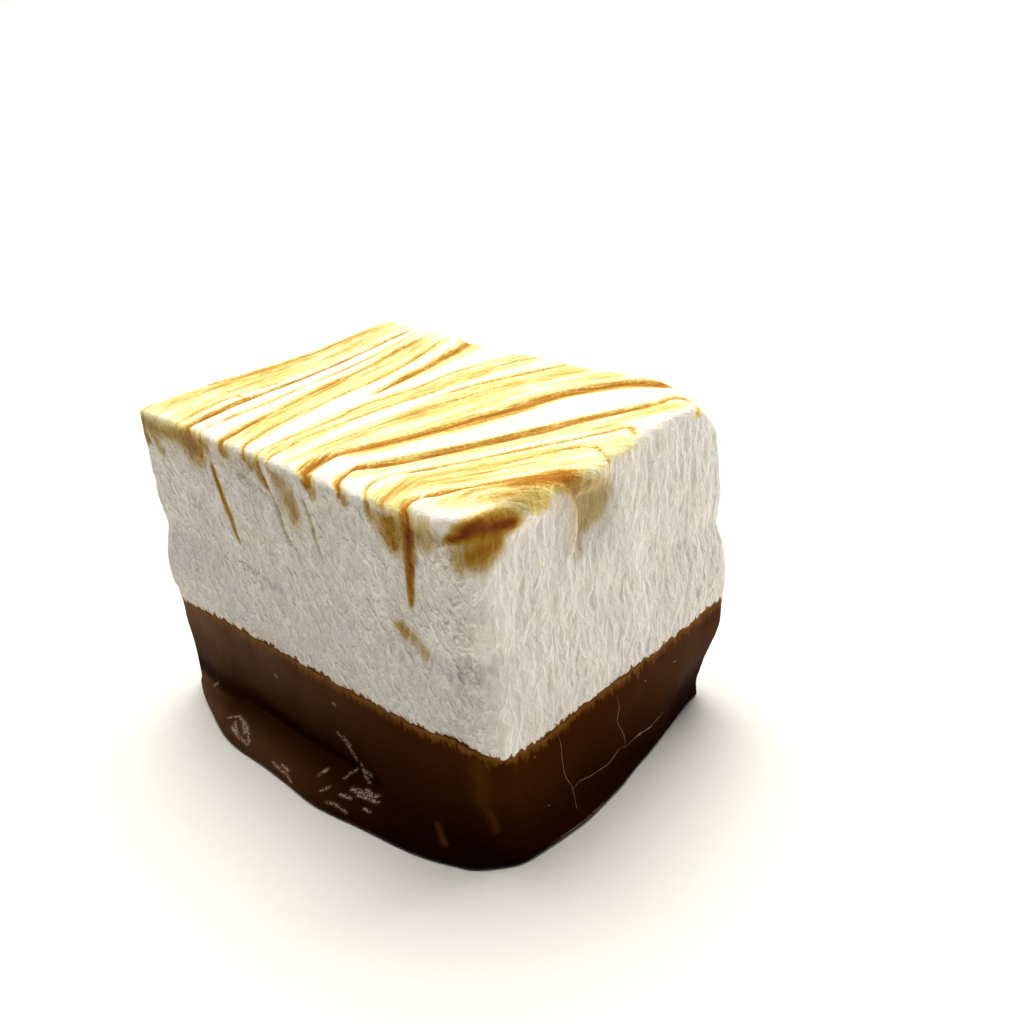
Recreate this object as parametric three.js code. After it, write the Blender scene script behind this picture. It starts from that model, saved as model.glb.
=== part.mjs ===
// A slab marshmallow marbled with caramel, its foot dipped in dark chocolate.
// Millimetres, +Z up. The origin is the middle of the face it stands on.
// X runs along the short side, Y along the long side.
// The marshmallow runs down inside the chocolate, a small gap clear of it.

import * as THREE from 'three';
import { mergeVertices } from 'three/addons/utils/BufferGeometryUtils.js';

// ---- driving dimensions ----
const WIDTH = 35;
const LENGTH = 50;
const HEIGHT = 34.7;
const CORNER_RADII = { frontLeft: 3.2, frontRight: 0.9, backRight: 1.6, backLeft: 1 };
const LEAST_RADIUS = 0.2;
const TOP_ROUNDING = 0.8;       // edge between the top and the sides
const CORNER_SAG = 3.4;         // how far the top falls away at the +X -Y corner
const SAG_REACH = 2.2;

const DIP_LEVEL = 11.9;         // usual height of the chocolate's edge
// Each side's edge lies this far over that level. The left one climbs to the front corner,
// the front one has a dent, and the other two are wavy.
const LEFT_EDGE = { over: -0.15, climb: 2, reach: 10 };
const FRONT_EDGE = {
  over: -0.9, slope: 0.02, dent: 0.6, dentAt: 7, dentHalfWidth: 2.6, rise: 0.6, reach: 3,
};
const RIGHT_EDGE = { over: 0.4, wave: 0.4, length: 6 };
const BACK_EDGE = { over: 0.2, wave: 0.3, length: 5 };
const DIP_WALL = 1.1;           // thickness of the chocolate on the sides
const DIP_FLOOR = 2;            // thickness of the chocolate underneath
const GAP = 0.3;                // clearance between marshmallow and chocolate

// The foot is a flat pool round the chocolate's base. It swells from its outer edge to a
// low crest, and the side leans out to meet it, more widely at both ends than between them.
const FOOT_SPREAD = { left: 4.8, right: 5, front: 1.9, back: 1.86 };
const FOOT_MIDDLE = -2;         // the y at which the side feet spread furthest
// How they die away to the front and to the back: 1 minus a power of the way, to a power.
const FOOT_FADE = { front: { bend: 2.5, power: 0.85 }, back: { bend: 4, power: 1.2 } };
const RIGHT_FOOT_START = 12;    // the right one is full this far from the front
const FOOT_WAVES = { share: 0.04, left: 2.4, right: 3.1 };
const FRONT_FOOT = { at: -8.2, halfWidth: 9.6 };
const BACK_FOOT = { at: 1, halfWidth: 12 };
const FULL_SPREAD = 4;          // a foot this wide has its full height
const FOOT_CREST = 1.55;        // the crest's height over the outer edge
const CREST_POWER = 1.5;        // a narrower foot is lower still for its spread
const FOOT_TURN = 1.8;          // angle from the outer edge over the crest, in radians
const FOOT_ROUNDING = 0.5;      // the foot's lower edge draws in to the floor
const LEAN_SHARE = { ends: 0.5, middle: 0.12 };   // how much of the foot the side's lean takes
const LEAN_NARROWS = { from: 9, to: 20 };         // distances from the front
const LEAN_WIDENS = { from: 37, to: 44 };
const LEAN_HEIGHT = 2.2;        // the lean dies away over about this height
const TUCK = new THREE.Vector2(-1.5, 2.1);    // the side pulls in below the +X -Y corner
const TUCK_REACH = 9;
const TUCK_FROM = 1.5;          // and is out again between these heights
const TUCK_TO = 10.5;
const LEVEL_SIDE = 3;           // the side's swell stays the same below this height

const GROOVE_DEPTH = 0.5;       // caramel streaks lie in shallow furrows
const GROOVE_HALF_WIDTH = 0.9;
const FOLD_DEPTH = 0.7;         // pinched fold under the top edge of the -Y side
const FOLD_AT = { x: -2.2, z: 31.5, halfWidth: 2.6, halfHeight: 3 };
const WAIST = { depth: 0.4, level: 21.3, halfHeight: 1.6 };   // nip round the sides
const BELLY = { depth: 0.5, level: 15.8, halfHeight: 3.5 };   // swell of the sides below it
const CORNER_SHARE = 0.65;      // share of both that is there at the corners alone
const CORNER_REACH = { x: 8, y: 10 };
const SIDE_WAVES = { size: 0.16, x: 4.1, y: 5.3, leanX: 7, leanY: 9 };
const TOP_WAVES = { size: 0.15, x: 5, y: 9 };
// A raised roll of marshmallow lies along the front left corner of the top.
const ROLL = new THREE.Line3(new THREE.Vector3(-16, -20.3, 0), new THREE.Vector3(-8.2, -24.2, 0));
const ROLL_HEIGHT = 0.6;
const ROLL_HALF_WIDTH = 1.7;

// ---- how finely each piece is divided ----
const TOP_CELLS_X = 28;
const TOP_CELLS_Y = 40;
const ROUNDING_STEPS = 3;
const SIDE_ROWS = 9;            // above the chocolate's edge
const HIDDEN_ROWS = 2;          // below it
const DIP_CELLS_X = 18;
const DIP_CELLS_Y = 26;
const DIP_CELLS_ARC = 4;
const FOOT_STEPS = [0, 0.15, 0.3, 0.45, 0.6, 0.75, 0.88, 1];   // outer edge to the side
const WALL_STEPS = [0.08, 0.2, 0.45, 0.7, 0.92];               // up the side
const LIP_IN = 0.4;             // the lip's flat top starts this far in

const HALF_X = WIDTH / 2;
const HALF_Y = LENGTH / 2;

// The main caramel streaks over the top: start, bend and end of each furrow, as [x, y].
const STREAKS = [
  [[-17.5, 23.8], [-3, 24.2], [12, 23.6]],
  [[-17.3, 15.4], [-4, 16.0], [12.5, 19.2]],
  [[-17.5, 8.2], [-1, 12.2], [17, 15.6]],
  [[-17.5, 5.2], [0, 9.0], [17, 13.0]],
  [[-2, 5.2], [7, 7.0], [17.5, 10.2]],
  [[-17.5, 3.0], [-2, 4.0], [17.5, 1.4]],
  [[-15, -1.0], [0, -3.4], [17.5, -8.8]],
  [[-17.5, -4.2], [-3, -7.8], [10.5, -12.2]],
  [[10.5, -12.2], [15.5, -15.2], [17, -20]],
  [[-17.5, -9.2], [-4, -13.8], [13, -22.0]],
  [[-12.5, -12.8], [0, -18.0], [6, -23.2]],
  [[-17.5, -18.0], [-12, -19.2], [-5, -24.0]],
];

const smooth = THREE.MathUtils.smoothstep;
const bell = (distance, width) => Math.exp(-((distance / width) ** 2));

// ---- forms shared by both pieces ----

// A side weight of 1 on one side's flat and 0 on its neighbours, shared round the corners.
function sideWeights(normal) {
  return {
    left: normal.x < 0 ? normal.x ** 2 : 0,
    right: normal.x > 0 ? normal.x ** 2 : 0,
    front: normal.y < 0 ? normal.y ** 2 : 0,
    back: normal.y > 0 ? normal.y ** 2 : 0,
  };
}

// Height of the chocolate's edge. It climbs at the front corner between -X and -Y.
function dipEdge(point, normal) {
  const side = sideWeights(normal);
  const fromFront = point.y + HALF_Y;
  const fromLeft = point.x + HALF_X;
  const left = LEFT_EDGE.over + LEFT_EDGE.climb * Math.exp(-fromFront / LEFT_EDGE.reach);
  const dent = FRONT_EDGE.dent * bell(fromLeft - FRONT_EDGE.dentAt, FRONT_EDGE.dentHalfWidth);
  const rise = FRONT_EDGE.rise * bell(WIDTH - fromLeft, FRONT_EDGE.reach);
  const front = FRONT_EDGE.over + FRONT_EDGE.slope * fromLeft - dent + rise;
  const right = RIGHT_EDGE.over + RIGHT_EDGE.wave * Math.sin(point.y / RIGHT_EDGE.length);
  const back = BACK_EDGE.over + BACK_EDGE.wave * Math.cos(point.x / BACK_EDGE.length);
  const over = side.left * left + side.right * right + side.front * front + side.back * back;
  return DIP_LEVEL + over;
}

// How far the side stands out from the plain block at a height.
function sideSwell(point, z) {
  const waveX = Math.sin(point.x / SIDE_WAVES.x + z / SIDE_WAVES.leanX);
  const waveY = Math.cos(point.y / SIDE_WAVES.y - z / SIDE_WAVES.leanY);
  const waves = SIDE_WAVES.size * waveX * waveY;
  const nearEndX = bell(HALF_X - Math.abs(point.x), CORNER_REACH.x);
  const nearEndY = bell(HALF_Y - Math.abs(point.y), CORNER_REACH.y);
  const strength = THREE.MathUtils.lerp(1, nearEndX * nearEndY, CORNER_SHARE);
  const waist = -WAIST.depth * strength * bell(z - WAIST.level, WAIST.halfHeight);
  const belly = BELLY.depth * strength * bell(z - BELLY.level, BELLY.halfHeight);
  const foldAcross = bell(point.x - FOLD_AT.x, FOLD_AT.halfWidth);
  const foldUp = bell(z - FOLD_AT.z, FOLD_AT.halfHeight);
  const fold = point.y < 1 - HALF_Y ? -FOLD_DEPTH * foldAcross * foldUp : 0;
  return waves + waist + belly + fold;
}

// How far the foot stands out at the floor, before the side is tucked in at one corner.
// It dies away to nothing at both ends of the long sides, more bluntly at the back.
function footSpread(point, normal) {
  const side = sideWeights(normal);
  const fromMiddle = point.y - FOOT_MIDDLE;
  const atBack = fromMiddle > 0;
  const reach = atBack ? HALF_Y - FOOT_MIDDLE : HALF_Y + FOOT_MIDDLE;
  const along = Math.min(1, Math.abs(fromMiddle) / reach);
  const { bend, power } = atBack ? FOOT_FADE.back : FOOT_FADE.front;
  const fade = (1 - along ** bend) ** power;
  const left = fade * (1 - FOOT_WAVES.share * Math.sin(point.y / FOOT_WAVES.left));
  const begun = smooth(point.y + HALF_Y, 0, RIGHT_FOOT_START);
  const right = begun * fade * (1 + FOOT_WAVES.share * Math.sin(point.y / FOOT_WAVES.right));
  const front = bell(point.x - FRONT_FOOT.at, FRONT_FOOT.halfWidth);
  const back = bell(point.x - BACK_FOOT.at, BACK_FOOT.halfWidth);
  return side.left * FOOT_SPREAD.left * left + side.right * FOOT_SPREAD.right * right
    + side.front * FOOT_SPREAD.front * front + side.back * FOOT_SPREAD.back * back;
}

// How far the side leans out where it meets the foot.
function sideLean(point, normal) {
  const fromFront = point.y + HALF_Y;
  const narrowed = smooth(fromFront, LEAN_NARROWS.from, LEAN_NARROWS.to);
  const widened = smooth(fromFront, LEAN_WIDENS.from, LEAN_WIDENS.to);
  const share = THREE.MathUtils.lerp(LEAN_SHARE.ends, LEAN_SHARE.middle, narrowed - widened);
  return share * footSpread(point, normal);
}

// A point of the foot's section: 0 is its outer edge and 1 is where it meets the side.
function footSection(point, normal, share) {
  const spread = footSpread(point, normal);
  const lean = sideLean(point, normal);
  const angle = share * FOOT_TURN;
  const inward = Math.cos(FOOT_TURN);
  const out = lean + (spread - lean) * (Math.cos(angle) - inward) / (1 - inward);
  const fullness = Math.min(1, spread / FULL_SPREAD) ** CREST_POWER;
  const crest = fullness * FOOT_CREST * Math.sin(angle);
  return { out, z: FOOT_ROUNDING * (1 + share) + crest };
}

// Both pieces pull in together low down at one corner, as if the dip had shrunk there.
function tucked(point, z) {
  const fromCorner = Math.hypot(point.x - HALF_X, point.y + HALF_Y);
  const share = bell(fromCorner, TUCK_REACH) * (1 - smooth(z, TUCK_FROM, TUCK_TO));
  return point.clone().addScaledVector(TUCK, share);
}

// A corner's radius, for the quarter that a point lies in and an inset from the block.
function cornerRadius(x, y, inset) {
  const side = x < 0 ? 'Left' : 'Right';
  const radius = CORNER_RADII[(y < 0 ? 'front' : 'back') + side];
  return Math.max(LEAST_RADIUS, radius - inset);
}

// ---- marshmallow: a box's vertices moved onto the block's form ----

// Where a grid line lies: the outer ones step round the edge's rounding, the rest are even.
function gridLine(index, count, half) {
  const fromEdge = Math.min(index, count - index);
  const sign = index * 2 < count ? -1 : 1;
  if (fromEdge < ROUNDING_STEPS) {
    const angle = (fromEdge / ROUNDING_STEPS) * Math.PI / 2;
    return sign * (half - TOP_ROUNDING * (1 - Math.cos(angle)));
  }
  const flat = half - TOP_ROUNDING;
  return -flat + (2 * flat * (index - ROUNDING_STEPS)) / (count - 2 * ROUNDING_STEPS);
}

// A point of the rounded rectangle that a grid point stands for, drawn in by an inset.
function planPoint(column, row, inset) {
  const halfX = HALF_X - inset;
  const halfY = HALF_Y - inset;
  const x = gridLine(column, TOP_CELLS_X, halfX);
  const y = gridLine(row, TOP_CELLS_Y, halfY);
  const radius = cornerRadius(x, y, inset);
  const coreX = THREE.MathUtils.clamp(x, radius - halfX, halfX - radius);
  const coreY = THREE.MathUtils.clamp(y, radius - halfY, halfY - radius);
  const outward = new THREE.Vector2(x - coreX, y - coreY);
  const reach = Math.max(Math.abs(outward.x), Math.abs(outward.y));
  const normal = outward.clone().normalize();
  const point = new THREE.Vector2(coreX, coreY).addScaledVector(normal, reach);
  const edgeDistance = Math.min(halfX - Math.abs(x), halfY - Math.abs(y));
  return { point, normal, edgeDistance };
}

const furrows = STREAKS.map(([start, bend, end]) => {
  const curve = new THREE.QuadraticBezierCurve(
    new THREE.Vector2(...start), new THREE.Vector2(...bend), new THREE.Vector2(...end));
  return curve.getPoints(40);
});

function furrowDepth(point) {
  let nearest = Infinity;
  for (const furrow of furrows) {
    for (const step of furrow) nearest = Math.min(nearest, step.distanceTo(point));
  }
  return GROOVE_DEPTH * bell(nearest, GROOVE_HALF_WIDTH);
}

function topHeight(point) {
  const fromSaggedCorner = Math.hypot(point.x - HALF_X, point.y + HALF_Y);
  const sag = CORNER_SAG * bell(fromSaggedCorner, SAG_REACH);
  const waves = TOP_WAVES.size * Math.cos(point.x / TOP_WAVES.x + point.y / TOP_WAVES.y);
  const spot = new THREE.Vector3(point.x, point.y, 0);
  const onRoll = ROLL.closestPointToPoint(spot, true, new THREE.Vector3());
  const roll = ROLL_HEIGHT * bell(spot.distanceTo(onRoll), ROLL_HALF_WIDTH);
  const plain = HEIGHT - TOP_WAVES.size - sag + waves - furrowDepth(point);
  return Math.min(HEIGHT, plain + roll);
}

function roundingDrop(edgeDistance) {
  if (edgeDistance >= TOP_ROUNDING) return 0;
  const across = TOP_ROUNDING - edgeDistance;
  return TOP_ROUNDING - Math.sqrt(TOP_ROUNDING ** 2 - across ** 2);
}

function buildMarshmallow() {
  const rows = HIDDEN_ROWS + 1 + SIDE_ROWS;
  const box = new THREE.BoxGeometry(1, 1, 1, TOP_CELLS_X, TOP_CELLS_Y, rows);
  const place = box.attributes.position;
  const bottom = DIP_FLOOR + GAP;
  for (let i = 0; i < place.count; i++) {
    const column = Math.round((place.getX(i) + 0.5) * TOP_CELLS_X);
    const line = Math.round((place.getY(i) + 0.5) * TOP_CELLS_Y);
    const level = Math.round((place.getZ(i) + 0.5) * rows);
    let spot = planPoint(column, line, 0);
    let z;
    let out = 0;
    if (level <= HIDDEN_ROWS) {
      const shelf = dipEdge(spot.point, spot.normal) + GAP;
      z = THREE.MathUtils.lerp(bottom, shelf, level / HIDDEN_ROWS);
      spot = planPoint(column, line, DIP_WALL + GAP);
    } else {
      const lowest = dipEdge(spot.point, spot.normal) + GAP;
      const highest = topHeight(spot.point) - TOP_ROUNDING;
      const up = (level - HIDDEN_ROWS - 1) / SIDE_ROWS;
      z = THREE.MathUtils.lerp(lowest, highest, up);
      if (level === rows) z = topHeight(spot.point) - roundingDrop(spot.edgeDistance);
      out = sideSwell(spot.point, Math.min(z, highest)) * (1 - smooth(spot.edgeDistance, 0, 4));
    }
    const end = tucked(spot.point.addScaledVector(spot.normal, out), z);
    place.setXYZ(i, end.x, end.y, z);
  }
  return solidGeometry(box);
}

// ---- chocolate: a turned profile whose rings follow the block's outline ----

// The ring's points, counted round from the front left corner: each side is evenly
// divided, and so is each corner's arc.
function outline(inset) {
  const halfX = HALF_X - inset;
  const halfY = HALF_Y - inset;
  const corners = [[1, -1], [1, 1], [-1, 1], [-1, -1]];
  const ring = [];
  corners.forEach(([signX, signY], index) => {
    const sideCells = index % 2 === 0 ? DIP_CELLS_X : DIP_CELLS_Y;
    const radius = cornerRadius(signX, signY, inset);
    const centre = new THREE.Vector2(signX * (halfX - radius), signY * (halfY - radius));
    const [lastX, lastY] = corners[(index + 3) % 4];
    const lastRadius = cornerRadius(lastX, lastY, inset);
    const lastCentre = new THREE.Vector2(lastX * (halfX - lastRadius), lastY * (halfY - lastRadius));
    const facing = (index - 1) * Math.PI / 2;
    const normal = new THREE.Vector2(Math.cos(facing), Math.sin(facing));
    const start = lastCentre.addScaledVector(normal, lastRadius);
    const end = centre.clone().addScaledVector(normal, radius);
    for (let i = 0; i < sideCells; i++) {
      ring.push({ point: start.clone().lerp(end, i / sideCells), normal: normal.clone() });
    }
    for (let i = 0; i < DIP_CELLS_ARC; i++) {
      const turned = facing + (i / DIP_CELLS_ARC) * Math.PI / 2;
      const outward = new THREE.Vector2(Math.cos(turned), Math.sin(turned));
      ring.push({ point: centre.clone().addScaledVector(outward, radius), normal: outward });
    }
  });
  return ring;
}

// The rings of the chocolate, from its sole up the outside and down the inside. Each has
// an inset from the block, and finds a height and a further distance out for a point.
function dipRings() {
  const sole = {
    inset: 0,
    section: (point, normal) => ({
      z: 0,
      out: footSpread(point, normal) - FOOT_ROUNDING + sideSwell(point, LEVEL_SIDE),
    }),
  };
  const foot = (share) => ({
    inset: 0,
    section: (point, normal) => {
      const { z, out } = footSection(point, normal, share);
      return { z, out: out + sideSwell(point, LEVEL_SIDE) };
    },
  });
  const side = (share, inset) => ({
    inset: 0,
    section: (point, normal) => {
      const foot = footSection(point, normal, 1).z;
      const z = THREE.MathUtils.lerp(foot, dipEdge(point, normal), share);
      const lean = sideLean(point, normal) * Math.exp((foot - z) / LEAN_HEIGHT);
      return { z, out: lean + sideSwell(point, Math.max(z, LEVEL_SIDE)) - inset };
    },
  });
  const inside = (share, below) => ({
    inset: DIP_WALL,
    section: (point, normal) => {
      const highest = dipEdge(point, normal) - below;
      return { z: THREE.MathUtils.lerp(DIP_FLOOR, highest, share), out: 0 };
    },
  });
  return [
    sole,
    ...FOOT_STEPS.map(foot),
    ...WALL_STEPS.map((share) => side(share, 0)),
    side(0.99, 0.12),
    side(1, LIP_IN),
    inside(1, 0.2),
    inside(0.5, 0),
    inside(0, 0),
  ];
}

function buildDip() {
  const rings = dipRings();
  const outlines = rings.map((ring) => outline(ring.inset));
  const around = outlines[0].length;
  const profile = [new THREE.Vector2(0, 0)];
  rings.forEach((ring, index) => profile.push(new THREE.Vector2(1, index)));
  profile.push(new THREE.Vector2(0, rings.length));
  const lathe = new THREE.LatheGeometry(profile, around);
  const place = lathe.attributes.position;
  for (let i = 0; i < place.count; i++) {
    const turn = Math.floor(i / profile.length) % around;
    const step = i % profile.length;
    const ring = rings[step - 1];
    if (ring) {
      const { point, normal } = outlines[step - 1][turn];
      const { z, out } = ring.section(point, normal);
      const end = tucked(point.clone().addScaledVector(normal, out), z);
      place.setXYZ(i, end.x, end.y, z);
    } else {
      place.setXYZ(i, 0, 0, step === 0 ? 0 : DIP_FLOOR);
    }
  }
  return solidGeometry(lathe);
}

// Only positions, with shared corners merged, so that the body is one closed skin.
function solidGeometry(geometry) {
  geometry.deleteAttribute('normal');
  geometry.deleteAttribute('uv');
  const merged = mergeVertices(geometry, 1e-4);
  merged.computeVertexNormals();
  return merged;
}

function piece(name, geometry, colour, roughness) {
  const material = new THREE.MeshStandardMaterial({ color: colour, roughness, metalness: 0 });
  const mesh = new THREE.Mesh(geometry, material);
  mesh.name = name;
  return mesh;
}

const group = new THREE.Group();
group.add(piece('marshmallow', buildMarshmallow(), 0xf6f1e6, 0.85));
group.add(piece('chocolate_dip', buildDip(), 0x3a1c0b, 0.42));

export default group;
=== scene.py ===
"""A slab marshmallow marbled with caramel, standing in a dip of dark chocolate.

Laid out as an add-on: the sizes and colours are properties, each piece has an operator,
and a panel in the sidebar lists them. Forms are worked out in millimetres in the frame
of the solids, and the meshes are made in metres.
"""

import math

import bpy
import numpy as np
from bpy.props import FloatProperty, FloatVectorProperty, IntProperty, PointerProperty
from mathutils import Matrix, Vector, noise
from mathutils.bvhtree import BVHTree


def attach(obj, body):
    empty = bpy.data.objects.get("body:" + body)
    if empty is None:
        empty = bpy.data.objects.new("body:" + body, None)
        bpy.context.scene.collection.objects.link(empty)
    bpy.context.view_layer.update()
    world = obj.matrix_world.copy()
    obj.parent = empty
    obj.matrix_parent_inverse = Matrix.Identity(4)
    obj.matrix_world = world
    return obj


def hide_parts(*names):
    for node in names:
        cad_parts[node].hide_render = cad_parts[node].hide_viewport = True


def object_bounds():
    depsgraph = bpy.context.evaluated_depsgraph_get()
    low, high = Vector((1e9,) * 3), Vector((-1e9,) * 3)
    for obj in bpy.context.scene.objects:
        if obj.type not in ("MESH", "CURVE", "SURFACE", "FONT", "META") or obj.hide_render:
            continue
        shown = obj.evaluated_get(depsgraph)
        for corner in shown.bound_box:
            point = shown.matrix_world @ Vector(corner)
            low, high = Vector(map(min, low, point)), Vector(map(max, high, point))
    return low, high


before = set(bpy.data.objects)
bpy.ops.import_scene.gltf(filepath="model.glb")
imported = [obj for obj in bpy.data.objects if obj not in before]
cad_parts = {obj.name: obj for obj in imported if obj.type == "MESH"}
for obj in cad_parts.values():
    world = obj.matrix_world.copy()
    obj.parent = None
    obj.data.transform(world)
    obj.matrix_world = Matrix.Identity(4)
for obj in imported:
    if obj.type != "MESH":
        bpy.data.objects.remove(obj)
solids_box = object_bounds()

bl_info = {
    "name": "Marbled marshmallow",
    "version": (1, 0, 0),
    "blender": (4, 5, 0),
    "location": "3D View > Sidebar > Marshmallow",
    "description": "Builds a caramel-marbled marshmallow with a chocolate dip",
    "category": "Add Mesh",
}

MM = 0.001

# ---- the form that the solids have too, in millimetres ----
CORNER_RADII = {(-1, -1): 3.2, (1, -1): 0.9, (1, 1): 1.6, (-1, 1): 1.0}
LEAST_RADIUS = 0.2
SAG_REACH = 2.2
TOP_WAVES, TOP_WAVE_X, TOP_WAVE_Y = 0.15, 5, 9          # how deep, and a radian's length each way
SIDE_WAVES, SIDE_WAVE_X, SIDE_WAVE_Y = 0.16, (4.1, 7), (5.3, 9)     # the same, along and up the side
WAIST = (-0.4, 21.3, 1.6)           # how far out, at what height, and its reach up and down
BELLY = (0.5, 15.8, 3.5)
SWELL_LEAST, SWELL_REACH = 0.35, (8, 10)    # both are strongest at the corners
EDGE_OFFSETS = {"left": -0.15, "right": 0.4, "front": -0.9, "back": 0.2}    # from the dip's usual level
EDGE_CLIMB, CLIMB_REACH = 2.0, 10
EDGE_SLOPE = 0.02
EDGE_DENT = (0.6, 7, 2.6)           # its depth, its distance from the left end and its reach
EDGE_END_RISE, END_REACH = 0.6, 3
EDGE_WAVE_RIGHT, EDGE_WAVE_BACK = (0.4, 6), (0.3, 5)    # how deep, and a radian's length
DIP_FLOOR, DIP_WALL = 2.0, 1.1
FOOT_SPREAD = {"left": 4.8, "right": 5.0, "front": 1.9, "back": 1.86}
FOOT_FADE = {"front": (2.5, 0.85), "back": (4, 1.2)}    # powers by which it dies away
FOOT_BEGINS = (0, 12)               # how far from the front the right side's foot comes in
FOOT_RIPPLE, RIPPLE_LEFT, RIPPLE_RIGHT = 0.04, 2.4, 3.1
FRONT_FOOT, BACK_FOOT = (-8.2, 9.6), (1, 12)            # middle and reach along x
FOOT_MIDDLE = -2.0
FULL_SPREAD = 4.0
FOOT_CREST, CREST_POWER = 1.55, 1.5
FOOT_TURN = 1.8
FOOT_ROUNDING = 0.5
LEAN_AT_ENDS, LEAN_BETWEEN = 0.5, 0.12
LEAN_NARROWS, LEAN_WIDENS = (9.0, 20.0), (37.0, 44.0)
LEAN_HEIGHT = 2.2
TUCK = (-1.5, 2.1)
TUCK_REACH = 9.0
TUCK_FROM, TUCK_TO = 1.5, 10.5

HIDDEN_LEVEL = 0.5 * (DIP_FLOOR + TUCK_TO)      # of a ring inside the dip, halfway up the tuck

# ---- grain of the surfaces: depth, scale for each axis and seed ----
TOP_SWELLS = (0.22, (0.5, 0.07, 0), 3)          # these two run across the flow and along x
TOP_HAIRS = (0.07, (2, 0.35, 0), 4)
SKIN_BEND = (0.5, (0.5, 0.5, 0.4), 8)
SKIN_SWELL = (0.18, (0.3, 0.3, 0.16), 5)
LONG_CREASES = (0.11, (1.05, 1.05, 0.40), 1)
SHORT_CREASES = (0.09, (1.9, 1.9, 0.8), 2)
SKIN_LEVEL = -0.10
EDGE_GRAIN = (0.3, (0.22, 0.22, 1), 21), (0.34, (1.15, 1.15, 1), 22), (0.14, (2.6, 2.6, 1), 23)
DIP_GRAIN = (0.14, (0.22, 0.22, 0.3), 31), (0.03, (0.9, 0.9, 0.9), 32)
SEED_STEP = 17.3


# ---------------------------------------------------------------- small mathematics

def bell(distance, width):
    return np.exp(-((distance / width) ** 2))


def smooth(value, low, high):
    share = np.clip((value - low) / (high - low), 0.0, 1.0)
    return share * share * (3.0 - 2.0 * share)


def curve_through(points, steps=8):
    """Points of a smooth curve that passes through each given point."""
    given = np.array(points, dtype=float)
    before = np.vstack([2 * given[0] - given[1], given[:-1]])
    after = np.vstack([given[1:], 2 * given[-1] - given[-2]])
    slopes = (after - before) / 2
    out = []
    for index in range(len(given) - 1):
        start, end = given[index], given[index + 1]
        for step in range(steps):
            t = step / steps
            h1 = 2 * t ** 3 - 3 * t ** 2 + 1
            h2 = t ** 3 - 2 * t ** 2 + t
            h3 = 3 * t ** 2 - 2 * t ** 3
            h4 = t ** 3 - t ** 2
            out.append(h1 * start + h2 * slopes[index] + h3 * end + h4 * slopes[index + 1])
    out.append(given[-1])
    return np.array(out)


def distance_to_curve(spots, curve):
    """Each spot's distance to a curve, and how far along it that is, from 0 to 1."""
    best = np.full(len(spots), np.inf)
    along = np.zeros(len(spots))
    count = len(curve) - 1
    for index in range(count):
        start = curve[index]
        span = curve[index + 1] - start
        t = np.clip(((spots - start) @ span) / max(1e-9, span @ span), 0.0, 1.0)
        gap = np.linalg.norm(spots - start - t[:, None] * span, axis=1)
        nearer = gap < best
        best[nearer] = gap[nearer]
        along[nearer] = (index + t[nearer]) / count
    return best, along


def distance_to_line(spots, points):
    """Each spot's distance to the smooth curve through a few points."""
    return distance_to_curve(spots, curve_through(points))[0]


def grain(spots, *layers):
    """Smooth noise about zero. Each layer has a depth, a scale for each axis and a seed."""
    total = np.zeros(len(spots))
    for depth, scale, seed in layers:
        moved = spots * np.array(scale) + seed * SEED_STEP
        total += depth * np.array([noise.noise(Vector(row)) for row in moved])
    return total


def creases(spots, layer):
    """Sharp ridges between hollows, from one layer of grain."""
    depth, scale, seed = layer
    return depth * (1 - 2 * np.abs(grain(spots, (1, scale, seed))))


def faces_between(lower, upper):
    """Four-sided faces between two rings of vertex numbers."""
    return np.column_stack([lower, np.roll(lower, -1), np.roll(upper, -1), upper])


def faces_inside(ring, middle, facing_down):
    """Faces from a ring of vertex numbers to the one in its middle."""
    ahead = np.roll(ring, -1)
    first, second = (ahead, ring) if facing_down else (ring, ahead)
    return np.column_stack([first, second, np.full(len(ring), middle)])


def face_list(arrays):
    return [face for array in arrays for face in array.tolist()]


# ---------------------------------------------------------------- forms of the block

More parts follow.
